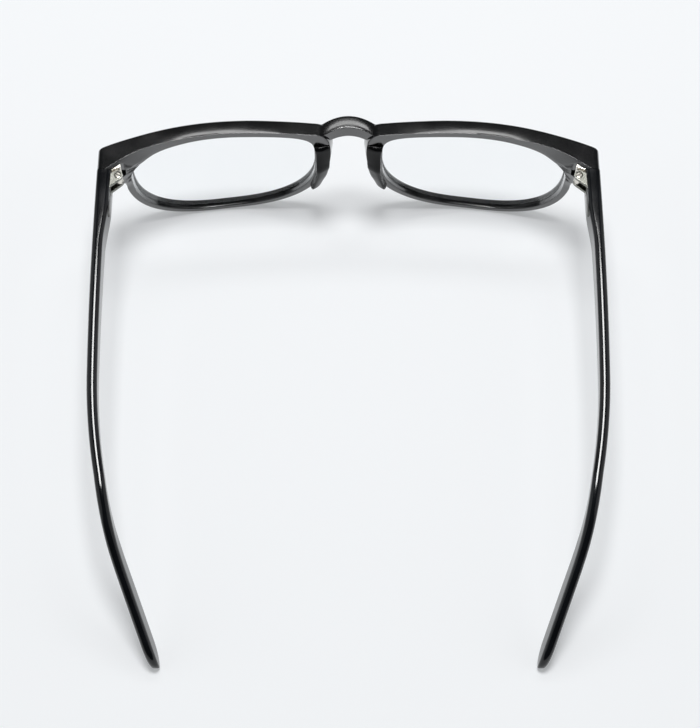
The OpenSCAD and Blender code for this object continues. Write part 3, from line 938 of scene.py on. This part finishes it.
@dataclass
class FrontMoulding:
    """The acetate front: both rims, the bridge and the endpieces, in one."""

    shape: FrontShape
    hinge: Hinge
    # Bridge
    bridge_height: float = 4.8
    bridge_depth: float = 4.0
    bridge_forward: float = 1.846
    bridge_rise: float = 1.4
    bridge_round: float = 0.6
    bridge_half: float = 7.4
    bridge_drop: float = 1.1
    bridge_bury: float = 0.6
    bridge_widen: float = 0.35
    bridge_crown: float = 0.1
    bridge_edge: float = 0.24
    bridge_back: float = 0.05
    bridge_steps: int = 72
    # Section of the rim
    crown: float = 0.17
    crisp: float = 0.06
    web: float = 0.35
    web_sink: float = 0.9
    brow: Span = (48, 26, 129, 22)
    square: Span = (4, 8, 142, 8)
    round_steps: int = 5
    crown_points: int = 7
    # Stations round the opening, in degrees
    first: float = -15.0
    last: float = 344.5
    coarse: float = 1.8
    fine: float = 1.1
    corners: tuple[Range, ...] = ((-4, 44), (124, 150), (205, 250), (295, 335))
    # Room round the hinge leaf
    leaf_play: float = 0.04

    def section(self, f: float) -> list[Spot]:
        """The rim's section, rounded at its four edges, with a crowned outer side along the brow.

        Args:
            f: the angle round the lens's middle, in degrees.

        Returns:
            The section's points in the frame's axes.
        """
        s = self.shape
        width = (s.outer(f) - s.opening(f)).length
        near, far = s.depths(f)
        brow, square = within(f, self.brow), within(f, self.square)
        corners = [
            (0, 0), (0, s.groove_half - s.groove_mid), (s.groove_depth, -s.groove_mid),
            (0, -s.groove_half - s.groove_mid), (0, -near),
            (self.web * width, -(far + near + (far - near) * self.web_sink) / 2),
            (width - s.flare(f), -far), (width, 0),
        ]
        rear = s.outer_round * (1 - square) + self.crisp * square
        radii = [s.inner_round, 0, 0, 0, s.inner_round, 0, rear, s.outer_round]
        loop = filleted(corners, radii, self.round_steps)
        front = len(loop) - self.round_steps - 1
        back = front - self.round_steps - 1
        (ma, da), (mb, db) = loop[front - 1], loop[front]
        shares = [i / (self.crown_points + 1) for i in range(1, self.crown_points + 1)]
        loop[front:front] = [(ma + (mb - ma) * k, da + (db - da) * k) for k in shares]
        out = []
        for i, (m, d) in enumerate(loop):
            groove = abs(m - s.groove_depth) < SAME and abs(d + s.groove_mid) < SAME
            hollow = self.crown * brow * (1 + 2 * d / far) ** 2 if i >= back else 0
            out.append(s.rim_point(f, m - hollow, d, groove))
        return out

    def angles(self) -> list[float]:
        """Stations round the opening, closer together at the corners.

        Returns:
            Their angles, in degrees.
        """
        out, f = [], self.first
        while f < self.last:
            out.append(f)
            f += self.fine if any(low < f < high for low, high in self.corners) else self.coarse
        return out

    def rim(self) -> Shell:
        """The right rim with its endpiece."""
        return loft([self.section(f) for f in self.angles()], ring=True)

    def bridge(self) -> Shell:
        """The bar that arches between the rims.

        Returns:
            The bar, with its ends inside the rims.
        """
        s = self.shape
        end = s.lens_x - s.half_w - self.bridge_bury
        rows = []
        for i in range(self.bridge_steps + 1):
            x = -end + 2 * end * i / self.bridge_steps
            c = max(0.0, 1 - (x / self.bridge_half) ** 2)
            front = s.plan(self.bridge_half) - self.bridge_back + self.bridge_forward * c
            h = s.top_h - self.bridge_drop + self.bridge_rise * c
            deep = self.bridge_depth + self.bridge_widen * (1 - c)
            top = [
                (-deep * j / 4, -self.bridge_widen * j / 4 - self.bridge_crown * (j / 2 - 1) ** 2)
                for j in range(5)
            ]
            corners = [*top, (-deep, -self.bridge_height), (0, -self.bridge_height)]
            radii = [self.bridge_round, 0, 0, 0, self.bridge_edge, self.bridge_round, self.bridge_round]
            loop = filleted(corners, radii, self.round_steps)
            rows.append([s.lean(x, h + q, front + p) for p, q in loop])
        return loft(rows)

    def cutters(self) -> Shell:
        """What is cut from the right endpiece: all behind the butt joint, and the leaf's pocket.

        Returns:
            The two cutters as one shell.
        """
        h, (px, py, pz) = self.hinge, self.hinge.pin
        butt = py + h.setback
        half, out = h.leaf_half + self.leaf_play, h.leaf_out + self.leaf_play
        deep = h.leaf_face + h.leaf_thick + self.leaf_play
        # Both blocks are roomy: only the butt joint and the leaf's own sides become faces
        behind = block((px - 14, butt - 12, pz - 30), (px + 16, butt, pz + 30))
        pocket = block((-2.7, h.leaf_face - 1.6, -half), (out, deep, half))
        return behind.combined(pocket.turned(h.leaf_angle).moved(h.pin), Cut.ADD)

    def build(self, shop: Workshop) -> None:
        """Makes the moulding as one piece.

        Args:
            shop: where it is made.
        """
        right, cut = self.rim(), self.cutters()
        whole = right.plus(right.on(Side.LEFT)).combined(self.bridge(), Cut.ADD)
        for side in Side:
            whole = whole.combined(cut.on(side), Cut.TAKE)
        shop.piece("front_moulding", whole, "front_acetate", "front", ["front_frame"])


@dataclass
class LensPair:
    """The two lenses, each a bevelled edge and two bulged faces."""

    shape: FrontShape
    edge: float = 1.5
    bulge: float = 1.2
    clearance: float = 0.1
    steps: int = 168
    first: float = -15.0
    scales: tuple[float, ...] = (0.06, 0.2, 0.35, 0.5, 0.63, 0.75, 0.85, 0.93, 1.0)

    def ring(self, m: float, d: float, bulge: float, k: float) -> list[Spot]:
        """One closed row of the lens.

        Args:
            m: how far its edge reaches past the opening.
            d: its place in front of the groove's middle.
            bulge: how far the middle stands forward of the edge.
            k: the row's share of the way from the middle to the edge.

        Returns:
            The row's points in the frame's axes.
        """
        s, out = self.shape, []
        for i in range(self.steps):
            f = 360 * i / self.steps + self.first
            p = (s.opening(f) + s.outward(f) * m) * k
            out.append(s.sunk(s.lens_x + p.x, p.y, d - s.groove_mid + bulge * (1 - k * k)))
        return out

    def shell(self) -> Shell:
        """The right lens.

        Returns:
            Its closed shell.
        """
        rows = [self.ring(-self.clearance, self.edge / 2, self.bulge, k) for k in self.scales]
        rows.append(self.ring(self.shape.groove_depth - self.clearance, 0, 0, 1))
        rows += [self.ring(-self.clearance, -self.edge / 2, self.bulge / 2, k) for k in reversed(self.scales)]
        return loft(rows)

    def build(self, shop: Workshop) -> None:
        """Makes both lenses.

        Args:
            shop: where they are made.
        """
        shell = self.shell()
        for side in Side:
            w = side.word
            shop.piece(f"{w}_lens_clear", shell.on(side), "lens", "front", [f"{w}_lens"])


@dataclass
class NosePads:
    """The two pads on the back nasal edge of the rims."""

    shape: FrontShape
    back: float = 2.7
    out: float = 1.25
    play: float = 0.04
    # Angles of its two ends round the lens, in degrees
    first: float = 143.0
    last: float = 210.3
    steps: int = 72
    curve_steps: int = 4
    # Where its sizes change, as shares of its length, and their least values
    top_run: float = 0.05
    foot_start: float = 0.92
    foot_run: float = 0.08
    wrap_start: float = 0.3
    wrap_run: float = 0.3
    back_least: float = 0.12
    back_top: float = 0.52
    back_run: float = 0.6
    out_least: float = 0.1
    out_start: float = 0.46
    out_run: float = 0.32
    inner: float = 0.75
    inner_foot: float = 0.6
    inner_start: float = 0.8
    inner_run: float = 0.2

    def section(self, t: float) -> list[Spot]:
        """The pad's section.

        Args:
            t: its share of the way from the pad's top to its foot.

        Returns:
            The section's points in the frame's axes.
        """
        s = self.shape
        f = self.first + (self.last - self.first) * t
        start = math.sqrt(1 - max(0.0, 1 - t / self.top_run) ** 2)
        stop = math.sqrt(max(0.0, 1 - (max(0.0, t - self.foot_start) / self.foot_run) ** 2))
        flare, deep, r, q = s.flare(f), s.depths(f)[1], s.outer_round, self.play
        a = (s.outer(f) - s.opening(f)).length - flare
        wrap, lift = ease((t - self.wrap_start) / self.wrap_run), flare / (deep - 2 * r)
        edge = 0.5 * deep * wrap + (deep - r - 0.05) * (1 - wrap)
        rise = self.back_top + (1 - self.back_top) * ease(t / self.back_run)
        b = self.back_least + rise * self.back * min(start, stop)
        n = self.out_least + self.out * ease((t - self.out_start) / self.out_run) * stop
        k = self.inner + self.inner_foot * (max(0.0, t - self.inner_start) / self.inner_run) ** 2
        up = deep - r - edge
        # The distance from the opening and the place in front of the face, from the rim round the back
        loop = [
            (a - r, -deep - q), (a - 0.3 * r + 0.7 * q, 0.3 * r - deep - 0.7 * q),
            (a + q, r - deep), (a + lift * up + q, -edge),
            (a + lift * (up - 0.35) + 0.65 * n, -edge - 0.35), (a + n, 0.15 - deep),
            (a + 0.8 * n, -deep - 0.3 * b), (0.62 * a + 0.38 * k + 0.35 * n, -deep - 0.72 * b),
            (0.3 * a + 0.7 * k, -deep - 0.97 * b), (k, -deep - b),
            (k - 0.3, -deep - 0.8 * b), (k - 0.4, -deep - q),
        ]
        return [s.rim_point(f, m, d) for m, d in self.softened(loop)]

    def softened(self, loop: list[tuple[float, float]]) -> list[tuple[float, float]]:
        """Turns the free side, from the fourth point to the last, into a smooth curve.

        Args:
            loop: the section's points.

        Returns:
            The points with the curve's own between them.
        """
        out, count = loop[:3], len(loop)
        for i in range(3, count - 1):
            a = loop[i - 1] if i > 3 else loop[3]
            b, c = loop[i], loop[i + 1]
            d = loop[i + 2] if i + 2 < count else loop[-1]
            for k in range(self.curve_steps):
                u = k / self.curve_steps
                out.append(tuple(
                    0.5 * (2 * b[j] + (c[j] - a[j]) * u + (2 * a[j] - 5 * b[j] + 4 * c[j] - d[j]) * u * u
                           + (3 * b[j] - a[j] - 3 * c[j] + d[j]) * u**3)
                    for j in (0, 1)
                ))
        out.append(loop[-1])
        return out

    def build(self, shop: Workshop) -> None:
        """Makes both pads.

        Args:
            shop: where they are made.
        """
        shares = [(1 - math.cos(math.pi * i / self.steps)) / 2 for i in range(self.steps + 1)]
        shell = loft([self.section(t) for t in shares])
        for side in Side:
            w = side.word
            shop.piece(f"{w}_pad", shell.on(side), "pad_acetate", "front", [f"{w}_nose_pad"], sharp=50)


@dataclass
class TempleShape:
    """The temple's path, height and thickness along its length."""

    hinge: Hinge
    length: float = 142.0
    bend_start: float = 88.0
    bend_radius: float = 28.0
    height: float = 10.2
    waist: float = 5.8
    paddle: float = 7.6
    thick_front: float = 3.9
    thick_rear: float = 2.9
    slope: float = 2.5
    tip_inset: float = 16.5
    drop: float = 39.8369
    corner_x: float = 70.0
    butt_y: float = 57.9456
    butt_top: float = 39.1389
    gap: float = 0.1
    bow: float = 0.797
    cap: float = 7.0
    edge: float = 1.25
    # Where it curves inward, thins and rounds off
    inward_start: float = 0.42
    inward_full: float = 0.8
    level: float = 2.0
    thin_start: float = 9.0
    thin_run: float = 13.0
    waist_reach: float = 1.05
    paddle_rate: float = 1.5
    cap_end: float = 0.985
    cap_thick: float = 0.6
    cap_reach: float = 0.98
    rounder: float = 0.25
    rounder_run: float = 30.0
    side_share: float = 0.96
    height_share: float = 0.7
    corner_steps: int = 6
    steps: int = 118
    cap_steps: int = 16

    def inset(self, s: float) -> float:
        """How far the temple has curved in toward the head.

        Args:
            s: the distance along the path.

        Returns:
            The distance inward.
        """
        a, b = self.inward_start * self.length, self.inward_full * self.length
        k = self.tip_inset / ((b - a) ** 2 + 2 * (b - a) * (self.length - b))
        if s < a:
            return 0.0
        return k * (s - a) ** 2 if s < b else k * ((b - a) ** 2 + 2 * (b - a) * (s - b))

    def turn(self, s: float) -> float:
        """The path's downward angle.

        Args:
            s: the distance along the path.

        Returns:
            The angle, in degrees.
        """
        if s < self.level:
            return 0.0
        if s < self.bend_start:
            return self.slope
        return min(self.drop, self.slope + math.degrees((s - self.bend_start) / self.bend_radius))

    def path(self, s: float) -> tuple[float, float]:
        """The path in the side view.

        Args:
            s: the distance along the path.

        Returns:
            The place along Y and up, from the path's start.
        """
        a, drop, r = math.radians(self.slope), math.radians(self.drop), self.bend_radius
        end = self.bend_start + (drop - a) * r
        t = a + max(0.0, min(s, end) - self.bend_start) / r
        s0, rest = min(s, self.bend_start), max(0.0, s - end)
        return (
            -s0 * math.cos(a) - r * (math.sin(t) - math.sin(a)) - rest * math.cos(drop),
            -s0 * math.sin(a) - r * (math.cos(a) - math.cos(t)) - rest * math.sin(drop),
        )

    def thick(self, s: float) -> float:
        """The temple's thickness."""
        k = ease((s - self.thin_start) / self.thin_run)
        return self.thick_front + (self.thick_rear - self.thick_front) * k

    def tall(self, s: float) -> float:
        """The temple's height.

        Args:
            s: the distance along the path.

        Returns:
            The height, slimmer toward the waist and taller again at the paddle.
        """
        beyond = (s - self.bend_start) / (self.length - self.bend_start)
        return (
            self.height + (self.waist - self.height) * ease(s / self.bend_start / self.waist_reach)
            + (self.paddle - self.waist) * ease(beyond * self.paddle_rate)
        )

    def section(self, s: float) -> list[Spot]:
        """The rounded section.

        Args:
            s: the distance along the path.

        Returns:
            The section's points in the frame's axes.
        """
        along, up = self.path(s)
        a = math.radians(self.turn(s))
        u = (s - self.length + self.cap) / self.cap
        k = 1.0 if u <= 0 else math.sqrt(1 - (u / self.cap_end) ** 2)
        w, h = self.thick(s) / 2, self.tall(s) / 2 * k
        x = self.corner_x + self.bow * math.sin(math.pi * min(1, s / self.bend_start)) - self.inset(s) - w
        w *= self.cap_thick + (1 - self.cap_thick) * k
        z = self.butt_top - self.height / 2 + up
        y = self.butt_y - self.gap + along
        r = self.edge + self.rounder * ease((s - self.bend_start) / self.rounder_run)
        r = min(r, w * self.side_share, h * self.height_share)
        loop = filleted([(w, h), (-w, h), (-w, -h), (w, -h)], [r] * 4, self.corner_steps)
        return [(x + p, y - q * math.sin(a), z + q * math.cos(a)) for p, q in loop]

    def stations(self) -> list[float]:
        """Distances along the path, closer together at the rounded tip.

        Returns:
            The distances.
        """
        straight, n = self.length - self.cap, self.cap_steps
        out = [straight * i / self.steps for i in range(self.steps + 1)]
        tip = [math.sin(math.pi / 2 * i / n) for i in range(1, n + 1)]
        return out + [straight + self.cap * self.cap_reach * k for k in tip]


@dataclass
class Temples:
    """The two temples with the pockets that their hinges sit in."""

    shape: TempleShape
    inward: float = 1.0
    ears_play: float = 0.1
    ears_room: float = 0.45
    ears_front: float = 2.0
    box_play: float = 0.05
    box_mouth: float = 1.0

    def shell(self) -> Shell:
        """The right temple.

        Returns:
            Its shell, with a pocket for the ears and one for the spring box.
        """
        h, t = self.shape.hinge, self.shape
        solid = loft([t.section(s) for s in t.stations()])
        x, tall, wide = h.face - self.inward, h.stack / 2 + self.ears_play, h.box_half + self.box_play
        ears = block(
            (x, h.web_back - self.ears_room, -tall),
            (h.web_out + self.ears_play, h.setback + self.ears_front, tall),
        )
        box = block(
            (x, h.box_front - h.box_length - self.box_play, -wide),
            (h.box_out + self.box_play, h.box_front + self.box_mouth, wide),
        )
        for pocket in (ears, box):
            solid = solid.combined(pocket.moved(h.pin), Cut.TAKE)
        return solid

    def build(self, shop: Workshop) -> None:
        """Makes both temples.

        Args:
            shop: where they are made.
        """
        shell = self.shell()
        for side in Side:
            w = side.word
            shop.piece(f"{w}_temple_arm", shell.on(side), "temple_acetate", f"{w}_arm", [f"{w}_temple"])


@dataclass
class HingeWork:
    """The metal pieces of both hinges."""

    hinge: Hinge
    chamfer: float = 0.13
    head_radius: float = 0.95
    head_height: float = 0.5
    sink: float = 0.06
    # Screw
    floor: float = 0.05
    head_room: float = 0.11
    slot_half: float = 0.16
    slot_depth: float = 0.32
    slot_turn: float = 30.0
    axis: float = 0.02
    # Front leaf
    knuckle_less: float = 0.1
    knuckle_edge: float = 0.08
    plate_edge: float = 0.09
    peg_radius: float = 0.55
    peg_length: float = 2.0
    peg_inset: float = 1.3
    peg_out: float = 0.15
    arm_in: float = 1.2
    arm_out: float = 1.1
    arm_bury: float = 0.1
    # Ears, web and rod
    web_edge: float = 0.1
    ear_in: float = 0.5
    ear_front: float = 0.35
    ear_rear: float = 0.15
    ear_steps: int = 40
    rod_radius: float = 0.55
    rod_length: float = 5.5
    rod_bury: float = 0.1
    knob_radius: float = 0.95
    knob_length: float = 1.0
    knob_back: float = 4.4
    # Spring box
    box_edge: float = 0.12
    box_round: float = 0.5
    box_inset: float = 0.1
    spring_bore: float = 1.05
    bore_out: float = 1.0
    bore_length: float = 6.6

    def leaf(self) -> Shell:
        """The front leaf: a plate in the endpiece with two pegs, and one knuckle.

        Returns:
            The right leaf, with the pin's bore.
        """
        h = self.hinge
        face, half, tall = h.leaf_face, h.leaf_half, h.knuckle / 2
        knuckle = round_bar(h.ear_radius - self.knuckle_less, -tall, tall).eased(self.knuckle_edge)
        arm = block((-self.arm_in, 0, -tall), (self.arm_out, face + self.arm_bury, tall)).turned(h.leaf_angle)
        plate = block((-h.leaf_in, face, -half), (h.leaf_out, face + h.leaf_thick, half))
        plate = plate.eased(self.plate_edge).turned(h.leaf_angle)
        solid = knuckle.combined(arm, Cut.ADD).combined(plate, Cut.ADD)
        for z in (self.peg_inset - half, half - self.peg_inset):
            peg = round_bar(self.peg_radius, -self.peg_length, 0, 32).lying_back()
            peg = peg.moved((self.peg_out, face + h.leaf_thick / 2, z)).turned(h.leaf_angle)
            solid = solid.combined(peg, Cut.ADD)
        return solid.combined(h.bore(h.shank + h.fit), Cut.TAKE)

    def ear_outline(self) -> list[tuple[float, float]]:
        """The ear's outline: round at the pin, with straight sides to the web.

        Returns:
            Its points.
        """
        h = self.hinge
        x, r, n = h.web_in + self.ear_in, h.ear_radius, self.ear_steps
        corners = [(x, h.web_back + h.web_length - self.ear_front), (x, h.web_back + self.ear_rear)]

        def meet(q: tuple[float, float], side: int) -> float:
            """The angle where a straight side leaves the round."""
            return math.atan2(q[1], q[0]) + side * math.acos(r / math.hypot(*q))

        start, end = meet(corners[0], 1), meet(corners[1], -1) + 2 * math.pi
        arc = [start + (end - start) * i / n for i in range(n + 1)]
        return [(r * math.cos(a), r * math.sin(a)) for a in arc] + corners[::-1]

    def carriage(self) -> Shell:
        """The sprung piece: two ears on a web, and the rod behind it.

        Returns:
            The right piece, with the pin's bore and the seat of the screw's head.
        """
        h = self.hinge
        half, back = h.stack / 2, h.web_back
        solid = block((h.web_in, back, -half), (h.web_out, back + h.web_length, half)).eased(self.web_edge)
        for low in (-half, half - h.ear_thick):
            ear = prism(self.ear_outline(), low, low + h.ear_thick).eased(self.chamfer, 50)
            solid = solid.combined(ear, Cut.ADD)
        rod = round_bar(self.rod_radius, 0, self.rod_length, 40).lying_back()
        knob = round_bar(self.knob_radius, 0, self.knob_length, 40).eased(self.web_edge).lying_back()
        solid = solid.combined(rod.moved((h.rod, back + self.rod_bury, 0)), Cut.ADD)
        solid = solid.combined(knob.moved((h.rod, back - self.knob_back, 0)), Cut.ADD)
        solid = solid.combined(h.bore(h.shank + h.fit), Cut.TAKE)
        seat = half - self.sink - self.head_height - self.floor
        return solid.combined(h.bore(self.head_radius + self.head_room, seat), Cut.TAKE)

    def screw(self) -> Shell:
        """The screw, with a slotted head.

        Returns:
            The screw, standing on the pin's axis.
        """
        h = self.hinge
        top, low = h.stack / 2 - self.sink, -h.stack / 2 + self.floor
        seat, r = top - self.head_height, self.head_radius
        # Radius and height, from the shank's end to the crown of the head
        profile = [
            (self.axis, low), (h.shank - 0.08, low), (h.shank, low + 0.1), (h.shank, seat),
            (r, seat), (r, top - 0.14), (r - 0.05, top - 0.06), (r - 0.16, top - 0.015),
            (r - 0.35, top), (self.axis, top),
        ]
        slot = block((-2, -self.slot_half, top - self.slot_depth), (2, self.slot_half, top + 1))
        return turned_profile(profile).combined(slot.turned(self.slot_turn), Cut.TAKE)

    def spring_box(self) -> Shell:
        """The box in the temple that holds the spring.

        Returns:
            The right box, bored for the spring and the rod.
        """
        h = self.hinge
        low, high, half = h.face + self.box_inset, h.box_out, h.box_half
        outline = filleted([(low, -half), (high, -half), (high, half), (low, half)], [self.box_round] * 4)
        solid = prism(outline, 0, h.box_length).eased(self.box_edge, 50).lying_back()
        bore = round_bar(self.spring_bore, 0, self.bore_length, 48).lying_back()
        bore = bore.moved((h.rod, h.box_front + self.bore_out, 0))
        return solid.moved((0, h.box_front, 0)).combined(bore, Cut.TAKE)

    def build(self, shop: Workshop) -> None:
        """Makes the metal pieces of both hinges and refinishes those that keep their shape.

        Args:
            shop: where they are made.
        """
        shells = (self.leaf(), self.carriage(), self.screw(), self.spring_box())
        leaf, carriage, screw, box = (s.moved(self.hinge.pin) for s in shells)
        for side in Side:
            w = side.word
            shop.piece(f"{w}_leaf", leaf.on(side), "hinge_metal", "front", [f"{w}_front_hinge_leaf"])
            shop.piece(
                f"{w}_ears", carriage.on(side), "ear_metal", f"{w}_carriage", [f"{w}_hinge_slider"],
            )
            shop.piece(f"{w}_screw", screw.on(side), "screw_steel", f"{w}_pivot", [f"{w}_hinge_screw"])
            shop.piece(
                f"{w}_spring_box", box.on(side), "box_metal", f"{w}_arm", [f"{w}_spring_housing"],
            )
            shop.refinish(f"{w}_spring_retainer", "spring_steel")
            shop.refinish(f"{w}_hinge_spring", "spring_steel")
            shop.refinish(f"{w}_core_wire", "core_wire")


# Studio


@dataclass
class Softbox:
    """One broad lamp."""

    name: str
    place: Spot
    aim: Spot
    size: tuple[float, float]
    glow: float
    colour: Colour = (1.0, 1.0, 1.0)

    def build(self) -> None:
        """Makes the lamp, with its power worked out from its brightness and size."""
        data = bpy.data.lights.new(self.name, "AREA")
        data.shape, data.size, data.size_y = "RECTANGLE", *self.size
        data.energy = self.glow * math.pi * self.size[0] * self.size[1]
        data.color = self.colour
        obj = linked(self.name, data)
        obj.location = self.place
        obj.rotation_euler = (Vector(self.aim) - Vector(self.place)).to_track_quat("-Z", "Y").to_euler()


@dataclass
class Studio:
    """The pale floor, the soft light and the camera at the photograph's angle."""

    floor_half: float = 2.5
    floor_drop: float = 0.00005
    floor_steps: int = 8
    world: float = 0.05
    eye: Spot = (0.42, -246.05, 616.29)
    elevation: float = 67.0
    focal_px: float = 2340.0
    image: tuple[int, int] = (700, 728)
    sensor: float = 36.0

    def build(self, shop: Workshop) -> None:
        """Makes everything round the glasses.

        Args:
            shop: where the floor's finish is kept.
        """
        scene = bpy.context.scene
        scene.view_settings.view_transform = "Standard"
        self._floor(shop)
        self._world(scene)
        for lamp in self._lamps():
            lamp.build()
        self._camera(scene)
        log.info("studio: floor, lamps and camera")

    def _floor(self, shop: Workshop) -> None:
        """Makes the floor just under the glasses.

        Args:
            shop: where its finish is kept.
        """
        h, n = self.floor_half, self.floor_steps
        data = bpy.data.meshes.new("floor")
        steps = [-h + 2 * h * i / n for i in range(n + 1)]
        grid = [(x, y, -self.floor_drop) for y in steps for x in steps]
        quads = [
            (j * (n + 1) + i, j * (n + 1) + i + 1, (j + 1) * (n + 1) + i + 1, (j + 1) * (n + 1) + i)
            for j in range(n) for i in range(n)
        ]
        data.from_pydata(grid, [], quads)
        obj = linked("floor", data)
        data.materials.append(shop.finishes["floor_paper"])

    def _world(self, scene: bpy.types.Scene) -> None:
        """Sets an even, dim surround, which the camera sees in the floor's tone.

        Args:
            scene: the scene that it lights.
        """
        world = bpy.data.worlds.new("surround")
        scene.world = world
        g = Graph(world)
        camera = g.add("ShaderNodeLightPath", output="Is Camera Ray")
        dim = g.add("ShaderNodeBackground", {}, {"Color": (0.94, 0.97, 1.0), "Strength": self.world})
        pale = g.add("ShaderNodeBackground", {}, {"Color": PALE, "Strength": 1.0})
        g.surface(g.add("ShaderNodeMixShader", {}, {0: camera, 1: dim, 2: pale}))

    def _lamps(self) -> list[Softbox]:
        """The lamps.

        Returns:
            The key overhead, a dim one in front of it and two broad low fills at the sides.
        """
        middle = (0.0, 0.0, 0.02)
        return [
            Softbox("key", (0.0, 0.23, 1.2), middle, (0.38, 0.30), 30.0),
            Softbox("brow_glow", (0.0, 0.70, 1.02), middle, (1.0, 0.16), 4.2),
            Softbox("left_fill", (-1.3, 0.0, 0.62), middle, (1.3, 1.8), 0.6, (0.95, 0.98, 1.0)),
            Softbox("right_fill", (1.3, 0.0, 0.62), middle, (1.3, 1.8), 0.6, (0.97, 0.99, 1.0)),
        ]

    def _camera(self, scene: bpy.types.Scene) -> None:
        """Sets the camera at the photograph's angle and distance.

        Args:
            scene: the scene that it looks at.
        """
        data = bpy.data.cameras.new("camera")
        data.sensor_width = self.sensor
        data.lens = self.focal_px / max(self.image) * self.sensor
        data.clip_start, data.clip_end = 0.01, 20.0
        obj = linked("camera", data)
        obj.location = tuple(c * MM for c in self.eye)
        obj.rotation_euler = (math.radians(90 - self.elevation), 0.0, 0.0)
        scene.camera = obj


def stock_finishes(shop: Workshop) -> None:
    """Builds every finish that the glasses and the floor use.

    Args:
        shop: where they are kept.
    """
    for finish in (
        Acetate("front_acetate"),
        Acetate(
            "temple_acetate", deep=(0.0025, 0.003, 0.004), cloud=(0.005, 0.006, 0.008), gloss=0.11, dull=0.15,
            coat=0.0, relief=0.02, index=1.45,
        ),
        Acetate("pad_acetate", gloss=0.14, dull=0.2, coat=0.0, index=1.3),
        ClearLens("lens"),
        Metal("hinge_metal", (0.68, 0.645, 0.585), (0.36, 0.32, 0.27)),
        Metal(
            "ear_metal", (0.19, 0.195, 0.172), (0.17, 0.17, 0.15), satin=0.3, relief=0.001,
            wear_and_highlight=(0.36, 0.355, 0.33),
        ),
        Metal(
            "screw_steel", (0.30, 0.29, 0.26), (0.08, 0.075, 0.065), grain=(1.0, 1.0, 0.2), satin=0.27,
            wear_and_highlight=(0.42, 0.41, 0.38),
        ),
        Metal(
            "box_metal", (0.07, 0.07, 0.065), (0.03, 0.03, 0.027), satin=0.42, bright=0.3,
            wear_and_highlight=(0.2, 0.2, 0.19),
        ),
        Metal("spring_steel", (0.56, 0.57, 0.58), (0.30, 0.30, 0.32), grain=(1.0, 1.0, 1.0), satin=0.28),
        Metal("core_wire", (0.60, 0.58, 0.54), (0.34, 0.32, 0.28), grain=(1.0, 0.05, 1.0), satin=0.32),
        Paper("floor_paper"),
    ):
        shop.stock(finish)


def main() -> None:
    """Builds the glasses piece by piece, then the studio."""
    logging.basicConfig(level=logging.INFO, format="%(name)s: %(message)s")
    shop = Workshop()
    stock_finishes(shop)
    front, hinge = FrontShape(), Hinge()
    FrontMoulding(front, hinge).build(shop)
    LensPair(front).build(shop)
    NosePads(front).build(shop)
    HingeWork(hinge).build(shop)
    Temples(TempleShape(hinge)).build(shop)
    Studio().build(shop)
    log.info("%d pieces made", len(shop.made))


if __name__ == "__main__":
    main()
